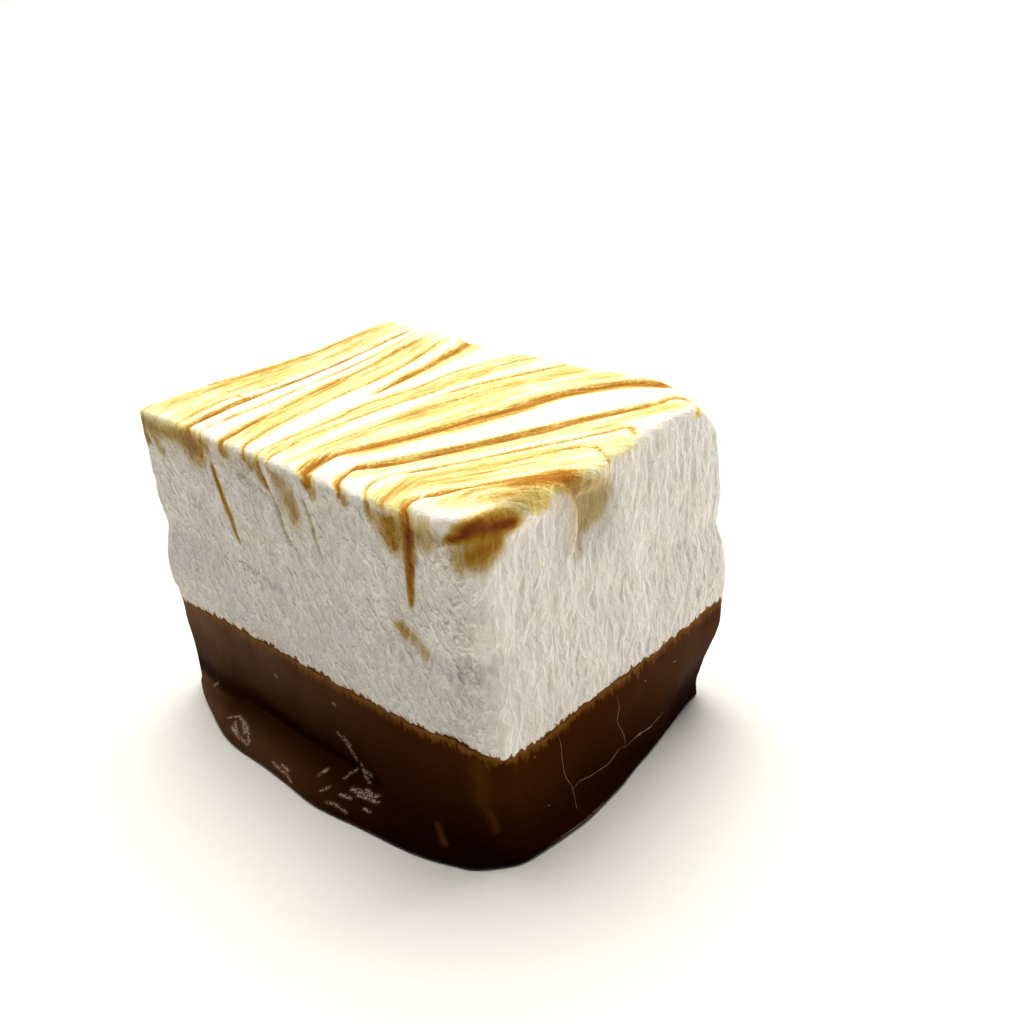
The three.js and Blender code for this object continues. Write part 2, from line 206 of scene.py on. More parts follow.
class Block:
    """The plain block, and the forms that both pieces share. All in millimetres."""

    def __init__(self, sizes):
        self.half_x = sizes.width / MM / 2
        self.half_y = sizes.length / MM / 2
        self.height = sizes.height / MM
        self.rounding = sizes.top_rounding / MM
        self.sag = sizes.corner_sag / MM
        self.dip_level = sizes.dip_level / MM

    def radius(self, x, y, inset):
        out = np.zeros(np.shape(x))
        for (side_x, side_y), radius in CORNER_RADII.items():
            here = (np.where(x < 0, -1, 1) == side_x) & (np.where(y < 0, -1, 1) == side_y)
            out = np.where(here, max(LEAST_RADIUS, radius - inset), out)
        return out

    def net(self, points, normals, beyond):
        """Places on the marbling's net, this far beyond the top's outline."""
        return points + normals * beyond[:, None] + np.array([self.half_x, self.half_y])

    def by_side(self, normals, left, right, front, back):
        """One value from those of the four sides, blended where the surface turns."""
        nx, ny = normals[:, 0], normals[:, 1]
        across, along = nx ** 2, ny ** 2
        return (np.where(nx < 0, across, 0) * left + np.where(nx > 0, across, 0) * right
                + np.where(ny < 0, along, 0) * front + np.where(ny > 0, along, 0) * back)

    def dip_edge(self, points, normals):
        """Height of the chocolate's smooth edge. It climbs at the front corner."""
        x, y = points[:, 0], points[:, 1]
        from_left, from_right = x + self.half_x, self.half_x - x
        level = {side: self.dip_level + offset for side, offset in EDGE_OFFSETS.items()}
        on_left = level["left"] + EDGE_CLIMB * np.exp(-np.maximum(y + self.half_y, 0) / CLIMB_REACH)
        depth, place, reach = EDGE_DENT
        on_front = level["front"] + EDGE_SLOPE * from_left - depth * bell(from_left - place, reach)
        on_front = on_front + EDGE_END_RISE * bell(from_right, END_REACH)
        depth, radian = EDGE_WAVE_RIGHT
        on_right = level["right"] + depth * np.sin(y / radian)
        depth, radian = EDGE_WAVE_BACK
        on_back = level["back"] + depth * np.cos(x / radian)
        return self.by_side(normals, on_left, on_right, on_front, on_back)

    def side_swell(self, points, z):
        """How far the side stands out from the plain block at a height."""
        x, y = points[:, 0], points[:, 1]
        (x_along, x_up), (y_along, y_up) = SIDE_WAVE_X, SIDE_WAVE_Y
        swell = SIDE_WAVES * np.sin(x / x_along + z / x_up) * np.cos(y / y_along - z / y_up)
        reach_x, reach_y = SWELL_REACH
        near_corner = bell(self.half_x - np.abs(x), reach_x) * bell(self.half_y - np.abs(y), reach_y)
        strength = SWELL_LEAST + (1 - SWELL_LEAST) * near_corner
        for out, level, reach in (WAIST, BELLY):
            swell = swell + out * strength * bell(z - level, reach)
        return swell

    def foot_spread(self, points, normals):
        """How far the foot stands out at the floor. It dies away at the long sides' ends."""
        x, y = points[:, 0], points[:, 1]
        from_middle = y - FOOT_MIDDLE
        ends = {"front": self.half_y + FOOT_MIDDLE, "back": self.half_y - FOOT_MIDDLE}
        fades = {}
        for end, (first, second) in FOOT_FADE.items():
            along = np.minimum(1, np.abs(from_middle) / ends[end])
            fades[end] = (1 - along ** first) ** second
        fade = np.where(from_middle > 0, fades["back"], fades["front"])
        begun = smooth(y + self.half_y, *FOOT_BEGINS)
        on_left = FOOT_SPREAD["left"] * fade * (1 - FOOT_RIPPLE * np.sin(y / RIPPLE_LEFT))
        on_right = FOOT_SPREAD["right"] * begun * fade * (1 + FOOT_RIPPLE * np.sin(y / RIPPLE_RIGHT))
        middle, reach = FRONT_FOOT
        on_front = FOOT_SPREAD["front"] * bell(x - middle, reach)
        middle, reach = BACK_FOOT
        on_back = FOOT_SPREAD["back"] * bell(x - middle, reach)
        return self.by_side(normals, on_left, on_right, on_front, on_back)

    def side_lean(self, points, spread):
        """How far the side leans out where it meets the foot."""
        from_front = points[:, 1] + self.half_y
        narrow = smooth(from_front, *LEAN_NARROWS) - smooth(from_front, *LEAN_WIDENS)
        return spread * (LEAN_AT_ENDS + (LEAN_BETWEEN - LEAN_AT_ENDS) * narrow)

    def foot_section(self, spread, lean, share):
        """Distance out and height on the foot, from its outer edge (0) to the side (1)."""
        angle = share * FOOT_TURN
        inward = math.cos(FOOT_TURN)
        out = lean + (spread - lean) * (math.cos(angle) - inward) / (1 - inward)
        crest = np.minimum(1, spread / FULL_SPREAD) ** CREST_POWER * FOOT_CREST * math.sin(angle)
        return out, FOOT_ROUNDING * (1 + share) + crest

    def tucked(self, points, z):
        """Both pieces pull in together low down at one corner."""
        from_corner = np.hypot(points[:, 0] - self.half_x, points[:, 1] + self.half_y)
        share = bell(from_corner, TUCK_REACH) * (1 - smooth(z, TUCK_FROM, TUCK_TO))
        return points + share[:, None] * np.array(TUCK)

    def outline(self, inset, cells_x, cells_y, cells_arc):
        """Points and normals round the block, each side and each corner evenly divided."""
        half_x, half_y = self.half_x - inset, self.half_y - inset
        corners = [(1, -1), (1, 1), (-1, 1), (-1, -1)]
        radii = [max(LEAST_RADIUS, CORNER_RADII[corner] - inset) for corner in corners]
        centres = [
            np.array([side_x * (half_x - radius), side_y * (half_y - radius)])
            for (side_x, side_y), radius in zip(corners, radii)]
        points, normals = [], []
        for index in range(4):
            cells = cells_x if index % 2 == 0 else cells_y
            facing = (index - 1) * math.pi / 2
            normal = np.array([math.cos(facing), math.sin(facing)])
            start = centres[index - 1] + normal * radii[index - 1]
            end = centres[index] + normal * radii[index]
            for step in range(cells):
                points.append(start + (end - start) * step / cells)
                normals.append(normal)
            for step in range(cells_arc):
                turned = facing + step / cells_arc * math.pi / 2
                outward = np.array([math.cos(turned), math.sin(turned)])
                points.append(centres[index] + outward * radii[index])
                normals.append(outward)
        return np.array(points), np.array(normals)


# ---------------------------------------------------------------- caramel marbling
#
# The marbling is laid out on the block's net: x and y in millimetres from the top's front
# left corner, running on past the top's edges down the sides. Each streak has a strength
# (1 is the darkest core), half-widths at its start, middle and end, and a few points.

STREAKS_TOP = [
    (0.62, (0.4, 0.6, 0.5), [(-0.8, 49.0), (4, 49.6), (7.2, 49.8), (10.5, 48.9), (16, 48.6),
        (27, 48.9), (33, 48.6)]),
    (0.42, (0.16, 0.18, 0.18), [(0.5, 48.3), (4, 48.2), (8, 48.3)]),
    (0.40, (0.16, 0.18, 0.18), [(0.5, 46.9), (8, 46.8), (15, 46.7)]),
    (0.92, (0.40, 0.30, 0.2), [(-0.6, 39.6), (0.5, 40.4), (3.4, 40.8), (13.4, 41.3), (21.3, 42.6),
        (28.8, 43.8), (34, 44.6)]),
    (0.45, (0.5, 0.3, 0.3), [(0.5, 42.0), (7, 43.0), (14, 42.6)]),
    (0.42, (0.2, 0.2, 0.2), [(8.8, 46.5), (8.4, 44), (8, 41)]),
    (0.55, (0.22, 0.22, 0.2), [(-0.8, 36.9), (0.5, 37.9), (10, 38.5), (19.7, 40.0), (29.7, 42.0),
        (34, 43.2)]),
    (0.70, (0.40, 0.36, 0.35), [(-0.5, 33.2), (0.3, 33.9), (8.4, 35.4), (14.7, 36.8), (21.3, 38.3),
        (28, 40.0), (33.4, 40.9)]),
    (0.58, (0.28, 0.28, 0.28), [(-0.5, 29.6), (0, 30.3), (4.3, 32.0), (12.6, 33.2), (19.7, 34.1),
        (28.8, 36.6), (33.8, 38.4)]),
    (0.88, (0.22, 0.5, 0.9), [(16.3, 30.3), (21.3, 31.4), (28, 32.9), (33.8, 34.5), (36.5, 35.2)]),
    (0.52, (0.28, 0.28, 0.28), [(-0.8, 27.5), (2.2, 28.5), (10, 28.2), (13.8, 28.5), (20.5, 27.9),
        (25.5, 28.4), (34.7, 26.8), (37, 26.0)]),
    (0.50, (0.26, 0.26, 0.26), [(-0.8, 25.8), (4.3, 26.8), (14, 26.2), (20, 25.4), (29.7, 25.4),
        (34.7, 23.5), (37, 22.4)]),
    (0.52, (0.2, 0.24, 0.24), [(2.6, 24.3), (10.5, 23.0), (18.8, 21.6), (24.7, 20.7), (30, 18.7),
        (34.7, 16.0)]),
    (0.62, (0.24, 0.28, 0.26), [(20, 23.9), (27.2, 22.0), (33, 20.0), (36, 18.3)]),
    (0.95, (0.42, 1.0, 0.62), [(-0.6, 19.4), (0.1, 20.2), (1.3, 21.1), (4.3, 21.3), (8.4, 19.3),
        (14.7, 16.8), (21.3, 14.5), (24.7, 13.9), (28, 12.7), (32.2, 9.75), (34, 7.0), (34.9, 4.6)]),
    (0.92, (0.34, 0.48, 0.50), [(-0.5, 14.6), (0, 15.2), (1.3, 16.3), (3.4, 16.8), (8, 14.3),
        (14.7, 10.8), (18.8, 8.7), (27.2, 4.75), (29.7, 3.4)]),
    (0.56, (0.35, 0.3, 0.3), [(29.7, 3.4), (31.3, 3.5), (32.6, 2.25), (32.2, 0.6), (30.9, -0.6)]),
    (0.45, (0.2, 0.2, 0.2), [(-0.8, 10.6), (0.5, 11.8), (2.2, 13.1), (4.3, 13.1), (6.3, 11.8),
        (8, 9.75)]),
    (0.55, (0.22, 0.24, 0.28), [(5, 12.25), (8.4, 10.6), (15.5, 6.8), (21.3, 3.5), (23.6, 2.2),
        (22.6, 0.6)]),
    (0.48, (0.22, 0.22, 0.25), [(10.5, 7.0), (16.3, 4.3), (18.8, 2.2), (18.1, 0.6), (17.9, -0.6)]),
    (0.92, (0.45, 0.5, 1.1), [(-2.6, 6.1), (-1.4, 6.0), (-0.3, 6.3), (0.8, 7.0), (2.2, 7.2),
        (6.3, 4.75), (10.5, 1.9), (12.4, 0.8), (13.6, 0.2)]),
    (0.95, (0.45, 1.0, 0.7), [(9.6, 2.1), (11.4, 1.3), (12.6, 0.7), (13.4, 0.2)]),
    (0.58, (0.5, 0.7, 0.5), [(7.5, 2.0), (9.2, 1.2), (10.6, 0.3)]),
]

# Broad yellow washes between the streaks, which the shader combs into fibres.
WASHES = [
    (0.95, (1.6, 2.2, 2.0), [(0.3, 47.6), (10, 47.5), (22, 47.8), (34, 48.2)]),
    (0.70, (0.9, 1.6, 1.2), [(0.5, 43.8), (12, 44.3), (30, 46.0)]),
    (0.95, (0.9, 1.2, 1.3), [(0.0, 33.2), (8.4, 34.6), (14.7, 36.0), (21.3, 37.4), (28, 39.2),
        (33.4, 40.4)]),
    (0.70, (0.5, 0.8, 0.8), [(0.3, 30.8), (8, 32.6), (19.7, 34.6), (33.8, 38.0)]),
    (0.60, (0.5, 0.9, 1.0), [(16, 30.6), (26, 31.9), (36, 33.4)]),
    (0.80, (0.7, 1.3, 1.5), [(0, 27.0), (10, 27.2), (20, 26.6), (36, 24.6)]),
    (1.00, (0.5, 1.5, 1.9), [(1.0, 23.9), (10.5, 22.6), (18.8, 21.4), (26, 20.0), (35.5, 15.6)]),
    (0.60, (0.6, 1.6, 1.8), [(4, 20.6), (15, 18.9), (22, 17.6), (30, 14.3), (34.5, 10.6)]),
    (0.50, (0.5, 0.7, 0.7), [(2, 15.6), (8, 13.2), (18, 7.6), (27, 4.0)]),
    (1.05, (1.0, 2.0, 1.2), [(-0.6, 9.6), (4.5, 9.6), (10, 6.6), (17, 3.2)]),
    (0.75, (0.8, 1.0, 0.8), [(21, 4.6), (26, 3.2), (31, 1.6)]),
    (0.95, (0.9, 1.4, 1.0), [(1.8, 4.4), (5, 3.0), (9.6, 0.8)]),
    (0.70, (0.8, 1.3, 1.0), [(6.0, 0.9), (8.2, -0.6), (10.6, -1.4)]),
    (0.50, (1.2, 1.6, 1.0), [(14, 2.2), (18, 1.2), (22, 0.6)]),
]

# The front corner's pool, and what has run down the -X and -Y sides, with one line of painted shade in
# the crease of the fold on -Y.
STREAKS_SEEN_SIDES = [
    (0.97, (0.26, 0.66, 0.46), [(-1.1, 1.3), (0.5, 0.3), (1.6, -0.1), (3.3, -0.6), (5.0, -1.0),
        (6.5, -1.4)]),
    (0.32, (0.4, 0.8, 0.7), [(0.0, 1.1), (1.5, 0.6), (3.3, 0.1), (5.0, -0.4), (7.0, -1.1)]),
    (0.62, (0.9, 1.4, 1.1), [(-0.4, -1.0), (0.7, -1.9), (2.0, -2.4), (3.4, -2.3), (4.8, -1.8)]),
    (0.30, (0.9, 1.0, 0.8), [(-1.5, 0.2), (-1.5, -0.8), (-1.2, -1.9)]),
    (0.48, (0.8, 1.1, 0.9), [(-1.0, 4.8), (-1.4, 3.9), (-1.5, 2.8)]),
    (0.34, (0.9, 1.2, 0.8), [(5.0, 1.6), (8, 0.9), (11.5, 0.4)]),
    (0.56, (1.2, 1.4, 0.7), [(-0.4, 8.4), (-2.0, 8.4), (-3.9, 7.9)]),
    (0.77, (0.8, 0.55, 0.16), [(-0.9, 6.0), (-2.4, 6.1), (-4.2, 6.4), (-7.2, 6.9), (-9.4, 7.3)]),
    (0.44, (0.7, 0.8, 0.6), [(-11.2, 9.6), (-11.8, 9.0), (-12.1, 8.4)]),
    (0.26, (0.8, 0.8, 0.6), [(-12.2, 8.2), (-12.9, 7.1), (-13.5, 5.8)]),
    (0.58, (0.6, 0.7, 0.4), [(-0.4, 49.8), (-1.8, 49.2), (-3.2, 48.2)]),
    (0.46, (0.5, 0.8, 0.7), [(-0.7, 48.8), (-0.9, 45.0), (-0.6, 42.4), (-0.8, 40.6)]),
    (0.54, (0.7, 0.9, 0.8), [(-0.5, 41.2), (-0.9, 39.6), (-1.4, 38.0), (-1.3, 37.2)]),
    (0.36, (0.5, 0.6, 0.4), [(-1.2, 47.6), (-2.6, 46.6), (-3.6, 45.2)]),
    (0.50, (0.9, 0.8, 0.4), [(-0.6, 40.0), (-1.2, 39.4), (-1.9, 39.0)]),
    (0.22, (0.8, 0.8, 0.5), [(-2.2, 40.4), (-2.8, 38.6), (-2.8, 37.2)]),
    (0.34, (0.6, 0.7, 0.4), [(-0.5, 36.7), (-1.0, 36.3), (-1.4, 36.1)]),
    (0.34, (0.5, 0.5, 0.3), [(-0.4, 33.2), (-0.7, 32.9), (-1.0, 32.7)]),
    (0.68, (0.40, 0.42, 0.24), [(-2.4, 36.0), (-4.4, 35.6), (-6.5, 34.9), (-8.7, 34.4), (-10.7, 34.0)]),
    (0.36, (0.5, 0.5, 0.3), [(-0.5, 29.4), (-1.0, 29.1), (-1.4, 28.9)]),
    (0.58, (0.42, 0.38, 0.2), [(-0.3, 28.3), (-1.9, 27.2), (-3.2, 26.4)]),
    (0.26, (0.22, 0.2, 0.15), [(-2.9, 26.5), (-4.4, 25.7), (-6.5, 25.0), (-7.9, 24.0), (-8.5, 22.8)]),
    (0.42, (0.5, 0.7, 0.5), [(-0.9, 25.6), (-1.5, 24.4), (-1.7, 23.4)]),
    (0.44, (0.5, 0.7, 0.6), [(-2.9, 24.0), (-3.4, 23.2), (-3.5, 22.4)]),
    (0.30, (0.6, 0.8, 0.5), [(-4.2, 23.2), (-4.9, 22.8), (-5.2, 22.6)]),
    (0.26, (0.3, 0.2, 0.15), [(-2.2, 21.1), (-3.6, 20.4), (-5.6, 19.9), (-7.6, 19.4)]),
    (0.36, (0.8, 0.7, 0.4), [(-0.6, 19.1), (-1.1, 18.8), (-1.6, 18.7)]),
    (0.26, (0.9, 0.8, 0.5), [(-1.8, 23.0), (-3.2, 22.8), (-4.4, 21.9)]),
    (0.38, (0.6, 0.6, 0.4), [(-0.6, 14.5), (-0.9, 14.3), (-1.3, 14.3)]),
    (0.30, (0.7, 0.8, 0.5), [(-0.5, 11.2), (-1.1, 10.8), (-1.8, 10.6)]),
    (0.72, (0.6, 0.6, 0.3), [(12.4, 0.5), (13.2, -0.5), (13.5, -1.9)]),
    (0.36, (1.3, 1.7, 0.9), [(14.6, -0.8), (15.2, -3.0), (14.4, -6.0)]),
    # painted shade: a thin dark line in the crease of the fold on -Y
    (0.30, (0.2, 0.16, 0.12), [(13.4, -1.8), (13.6, -4.2), (13.0, -7.2)]),
    (0.24, (1.2, 1.5, 0.9), [(16.6, -1.4), (17.0, -3.2), (15.8, -5.6)]),
]

# The two sides turned away have drips of their own.
STREAKS_HIDDEN_SIDES = [
    (0.66, (1.3, 0.8, 0.3), [(35.3, 35.2), (36.6, 34.5), (38.4, 34.2), (41, 34.4)]),
    (0.42, (0.7, 0.8, 0.4), [(35.4, 32.6), (36.6, 32.0), (37.6, 31.9)]),
    (0.40, (0.4, 0.3, 0.2), [(36, 26.2), (38, 25.7), (41.5, 25.9)]),
    (0.30, (0.8, 0.6, 0.4), [(35.4, 22.4), (36.4, 21.9), (37.2, 22.0)]),
    (0.50, (1.4, 1.2, 0.5), [(35.4, 15.8), (37, 15.2), (38.6, 14.3)]),
    (0.58, (0.8, 0.4, 0.2), [(35.3, 5.4), (37.5, 5.0), (40, 5.6), (43.5, 5.3)]),
    (0.36, (0.7, 0.6, 0.4), [(35.6, 44.8), (36.6, 44.3), (37.6, 44.3)]),
    (0.62, (1.0, 0.6, 0.3), [(6, 50.2), (6.6, 51.8), (6.3, 54.2), (6.6, 57)]),
    (0.40, (0.8, 0.6, 0.4), [(12.6, 50.3), (13.1, 51.4), (12.9, 52.4)]),
    (0.46, (1.5, 1.0, 0.4), [(24.6, 50.3), (25.2, 52.0), (24.4, 54.0)]),
    (0.38, (0.4, 0.3, 0.2), [(30.6, 50.5), (31.2, 53.0), (30.6, 56.5)]),
]

ALL_STREAKS = STREAKS_TOP + STREAKS_SEEN_SIDES + STREAKS_HIDDEN_SIDES

# Where caramel has pooled and lies smooth, without fibres.
POOL = [(-1.7, 4.4), (-1.5, 2.4), (0.0, 0.5), (3.0, -1.4), (6.0, -1.2)]
POOL_REACH = 2.1

# Damp, faintly see-through patches on the sides: centre and reach on the net, and strength. The first two
# are partly painted shade in the recessed pocket of the fold on -Y.
DAMP_AND_SHADE_PATCHES = [
    # partly painted shade in the pocket of the fold on -Y
    ((15.6, -3.4), (2.6, 2.4), 0.95),
    ((13.8, -6.2), (1.0, 1.9), 0.8),
    ((-2.6, 23.8), (2.2, 1.7), 0.7),
    ((-4.9, 22.8), (1.2, 1.1), 0.6),
    ((-1.3, 43.5), (1.5, 6.0), 0.45),
    ((-1.2, 33.5), (1.1, 4.5), 0.4),
    ((-1.0, 28.5), (1.0, 2.5), 0.35),
    ((-1.5, 3.4), (1.2, 1.7), 0.95),
    ((-1.6, -0.6), (1.0, 1.7), 0.5),
    ((-2.0, 30.5), (1.2, 1.6), 0.4),
    ((-2.2, 43.0), (1.4, 2.6), 0.35),
    ((12.5, -1.6), (1.8, 1.2), 0.5),
    ((37.2, 33.4), (1.6, 1.9), 0.6),
    ((37.4, 14.6), (1.7, 1.6), 0.5),
    ((24.2, 52.4), (2.0, 1.7), 0.6),
]

# Lines of the swirl's flow from the front to the back: the y that each has at these x.
FLOW_X = (-3, 5, 12, 20, 28, 38)
FLOW_LINES = [
    (-6, -6, -8, -12, -16, -22),
    (5, 5.9, 1.4, -3, -8, -14),
    (9, 12.3, 9, 4.6, 0.5, -6),
    (12.5, 16.5, 12.3, 8.2, 4.4, -2),
    (17.5, 21.2, 18, 15, 12.7, 4),
    (22, 24.1, 22.8, 21.3, 19.5, 14),
    (24, 26.8, 26.3, 25.4, 25.6, 22),
    (25.4, 28.6, 28.3, 27.9, 28.2, 25.8),
    (26.9, 29.8, 30.4, 31.2, 32.9, 36),
    (28.3, 32.1, 33.2, 34.2, 36.4, 40),
    (31.5, 34.8, 36.2, 38, 40, 42.5),
    (38.5, 40.8, 41.2, 42.4, 43.7, 45),
    (49, 49.7, 49.6, 49.9, 49.9, 50),
    (56, 57, 57, 57, 57, 57),
]
SPACING_COLUMN = 2      # the flow is measured in millimetres across the lines at this x

STROKE_REACH = 2.6          # how far out a streak is worked out, in half-widths
STROKE_SOFTNESS = 1.16      # its soft edge makes it this much wider
STROKE_END, STROKE_RISE = 0.35, 9           # share of its strength at its ends, and how fast it rises
BULGE_DEPTH, BULGE_STARTS, BULGE_ENDS = 1.4, (3.8, 6.4), (8.6, 11.8)    # where the roll hangs over -Y
BULGE_BACK = 3
LEFT_RISE, LEFT_STARTS, LEFT_EDGE = 0.55, (6, 9), (-0.4, 0.5)   # the top's look ends higher along -X


def strength_at(net, strokes):
    """Combined strength of a list of streaks at points of the net, 0 for none."""
    clear = np.ones(len(net))
    for strength, widths, points in strokes:
        curve = curve_through(points)
        reach = STROKE_REACH * max(widths)
        low, high = curve.min(axis=0) - reach, curve.max(axis=0) + reach
        near = np.all((net > low) & (net < high), axis=1)
        if not near.any():
            continue
        gap, along = distance_to_curve(net[near], curve)
        width = STROKE_SOFTNESS * np.interp(along, (0, 0.5, 1), widths)
        fade = np.minimum(1.0, STROKE_END + STROKE_RISE * np.minimum(along, 1 - along))
        clear[near] *= np.clip(1 - strength * fade * bell(gap, width), 0, 1)
    return 1 - clear


def damp_and_shade_at(net):
    damp = np.zeros(len(net))
    for (x, y), (reach_x, reach_y), strength in DAMP_AND_SHADE_PATCHES:
        here = np.exp(-((net[:, 0] - x) / reach_x) ** 4 - ((net[:, 1] - y) / reach_y) ** 4)
        damp = np.maximum(damp, strength * here)
    return damp


def lobe_at(net):
    """How much further down the top's look reaches: more over the roll's bulge, less on the -X side."""
    x, y = net[:, 0], net[:, 1]
    bulge = smooth(x, *BULGE_STARTS) * (1 - smooth(x, *BULGE_ENDS)) * (y < BULGE_BACK)
    return BULGE_DEPTH * bulge - LEFT_RISE * smooth(-x, *LEFT_EDGE) * smooth(y, *LEFT_STARTS)


def flow_at(net):
    """A distance across the swirl that is the same all along each of its lines."""
    levels = np.array([np.interp(net[:, 0], FLOW_X, line) for line in FLOW_LINES])
    flow = np.zeros(len(net))
    for index in range(len(FLOW_LINES) - 1):
        low, high = levels[index], levels[index + 1]
        spacing = FLOW_LINES[index + 1][SPACING_COLUMN] - FLOW_LINES[index][SPACING_COLUMN]
        flow += spacing * np.clip((net[:, 1] - low) / (high - low), 0, 1)
    return flow


# ---------------------------------------------------------------- marshmallow

ROUNDING_STEPS = 7
ARC_EXTRA = 0.57            # the arc over the top's edge is longer than its plan by this share
OVERHANG = 0.55             # share of the top's relief that also pushes its edge out
TOP_WRAP, SKIN_WRAP = 4, 2.2        # the side's forms, and its skin, fade out this far in on the top
SOFT_BAND = (0.25, 1.7)     # depths between which the top's look gives way to the sides'
DIP_GAP = 0.3               # between the block's foot and the dip's floor
BURIED = 0.9                # the side's own rows start this far below the chocolate's edge
SINKS, SUNK_BY = (-0.7, 0.05), 0.25         # there the skin gives way to the chocolate's wall
RIM_REACH = 2.5             # how far down the top's relief still shows in the side
OFF_NET, FAR_ABOVE = -99.0, 20.0            # for skin inside the dip, and for the top
ROLL = [(1.5, 4.7), (5, 3.2), (9.3, 0.8)]       # raised roll at the front corner, on the net
ROLL_HEIGHT, ROLL_WIDTH = 0.6, 1.7
FURROW_DEPTH, FURROW_AT_EDGE, AT_EDGE_REACH = 0.24, 1.6, 2.5    # furrows are deeper by the left edge
LEFT_CREASES = [            # y and z on the -X side
    [(2.9, 33.4), (2.1, 32.2), (1.5, 31.0), (0.7, 29.8), (-0.1, 27.7), (-1.1, 26.1), (-2.2, 25.4)],
    [(-3.9, 31.8), (-4.7, 30.3), (-5.1, 27.9), (-5.6, 25.8)],
    [(7.2, 31.8), (4.5, 31.2), (1.8, 30.3)],
    [(9.9, 20.8), (5.8, 20.4), (2.6, 19.8)],
]
LEFT_CREASE_DEPTH, LEFT_CREASE_WIDTH = 0.24, 0.3
FOLD = [(12.2, 33.5), (13.6, 31.0), (13.2, 28.0), (11.6, 25.6)]     # x from the left and z on -Y
POCKET_DEPTH, POCKET_PLACE, POCKET_STARTS = 0.75, (14.6, 3.2), (-0.1, 0.35)
POCKET_FLOOR, POCKET_ROOF = (24.5, 29.5), (31.4, 32.6)
FINGER_HEIGHT = 0.5
FINGERS = [(15.8, 2.2, 33.2, 1.5), (7.2, 3.2, 33.0, 1.1)]           # x, its reach, z and its reach
LIP_HEIGHT, LIP_WIDTH, LIP_BEFORE, LIP_STARTS = 0.22, 0.45, 0.35, (25.5, 28)
SIDE_FACING = 0.5           # a side's own forms are where the normal is at least this much its way
LEFTNESS = (0.3, 0.9)       # how much of a normal is -X where a surface starts and ends turning left
SKIN_VALUES = ("caramel", "wash", "flow", "topness", "raised", "facing_left", "above_dip")


class BlockGrid:
    """The grid of the marshmallow's skin: a box's grid rounded to the block's outline."""

    def __init__(self, block, cells_x, cells_y):
        self.block = block
        self.cells = (cells_x, cells_y)
        ring = [(i, 0) for i in range(cells_x)]
        ring += [(cells_x, j) for j in range(cells_y)]
        ring += [(i, cells_y) for i in range(cells_x, 0, -1)]
        ring += [(0, j) for j in range(cells_y, 0, -1)]
        self.ring = np.array(ring).T
        self.ring_numbers = self.number(*self.ring)

    def number(self, column, row):
        return column * (self.cells[1] + 1) + row

    def lines(self, count, half):
        """Where the grid's lines lie across the top, closer together on the rounded edge."""
        rounding = self.block.rounding
        angles = np.arange(ROUNDING_STEPS) / ROUNDING_STEPS * math.pi / 2
        edge = half - rounding * (1 - np.cos(angles))
        flat = half - rounding
        inner = np.linspace(-flat, flat, count - 2 * ROUNDING_STEPS + 1)
        return np.concatenate([-edge, inner, edge[::-1]])

    def plan(self, columns, rows, inset=0.0):
        """Plan points, outward normals and distances from the edge for grid positions."""
        half_x, half_y = self.block.half_x - inset, self.block.half_y - inset
        x = self.lines(self.cells[0], half_x)[columns]
        y = self.lines(self.cells[1], half_y)[rows]
        radius = self.block.radius(x, y, inset)
        core_x = np.clip(x, radius - half_x, half_x - radius)
        core_y = np.clip(y, radius - half_y, half_y - radius)
        out_x, out_y = x - core_x, y - core_y
        reach = np.maximum(np.abs(out_x), np.abs(out_y))
        length = np.maximum(np.hypot(out_x, out_y), 1e-9)
        normals = np.stack([out_x / length, out_y / length], axis=1)
        points = np.stack([core_x, core_y], axis=1) + normals * reach[:, None]
        edge_distance = np.minimum(half_x - np.abs(x), half_y - np.abs(y))
        return points, normals, edge_distance


def top_height(block, points):
    from_corner = np.hypot(points[:, 0] - block.half_x, points[:, 1] + block.half_y)
    waves = TOP_WAVES * np.cos(points[:, 0] / TOP_WAVE_X + points[:, 1] / TOP_WAVE_Y)
    return block.height - TOP_WAVES - block.sag * bell(from_corner, SAG_REACH) + waves


def top_relief(net, caramel, flow):
    """Furrows along the caramel, rolls between them and the raised roll at the front corner."""
    at_edge = np.exp(-np.maximum(net[:, 0], 0) / AT_EDGE_REACH)
    furrows = -FURROW_DEPTH * caramel * (1 + FURROW_AT_EDGE * at_edge)
    roll = ROLL_HEIGHT * bell(distance_to_line(net, ROLL), ROLL_WIDTH)
    combed = np.column_stack([flow, net[:, 0], 0 * flow])
    return furrows + roll + grain(combed, TOP_SWELLS) * (1 + at_edge) + grain(combed, TOP_HAIRS)


def pinched_fold(from_left, z):
    """The fold on the -Y side: fingers of skin above a pocket, with a lip along its edge."""
    fold = curve_through(FOLD)
    beyond = from_left - np.interp(-z, -fold[:, 1], fold[:, 0])
    middle, reach = POCKET_PLACE
    pocket = smooth(beyond, *POCKET_STARTS) * bell(from_left - middle, reach)
    pocket = pocket * smooth(z, *POCKET_FLOOR) * (1 - smooth(z, *POCKET_ROOF))
    lip = bell(beyond + LIP_BEFORE, LIP_WIDTH) * smooth(z, *LIP_STARTS)
    out = LIP_HEIGHT * lip - POCKET_DEPTH * pocket
    for x, x_reach, height, z_reach in FINGERS:
        out = out + FINGER_HEIGHT * bell(from_left - x, x_reach) * bell(z - height, z_reach)
    return out


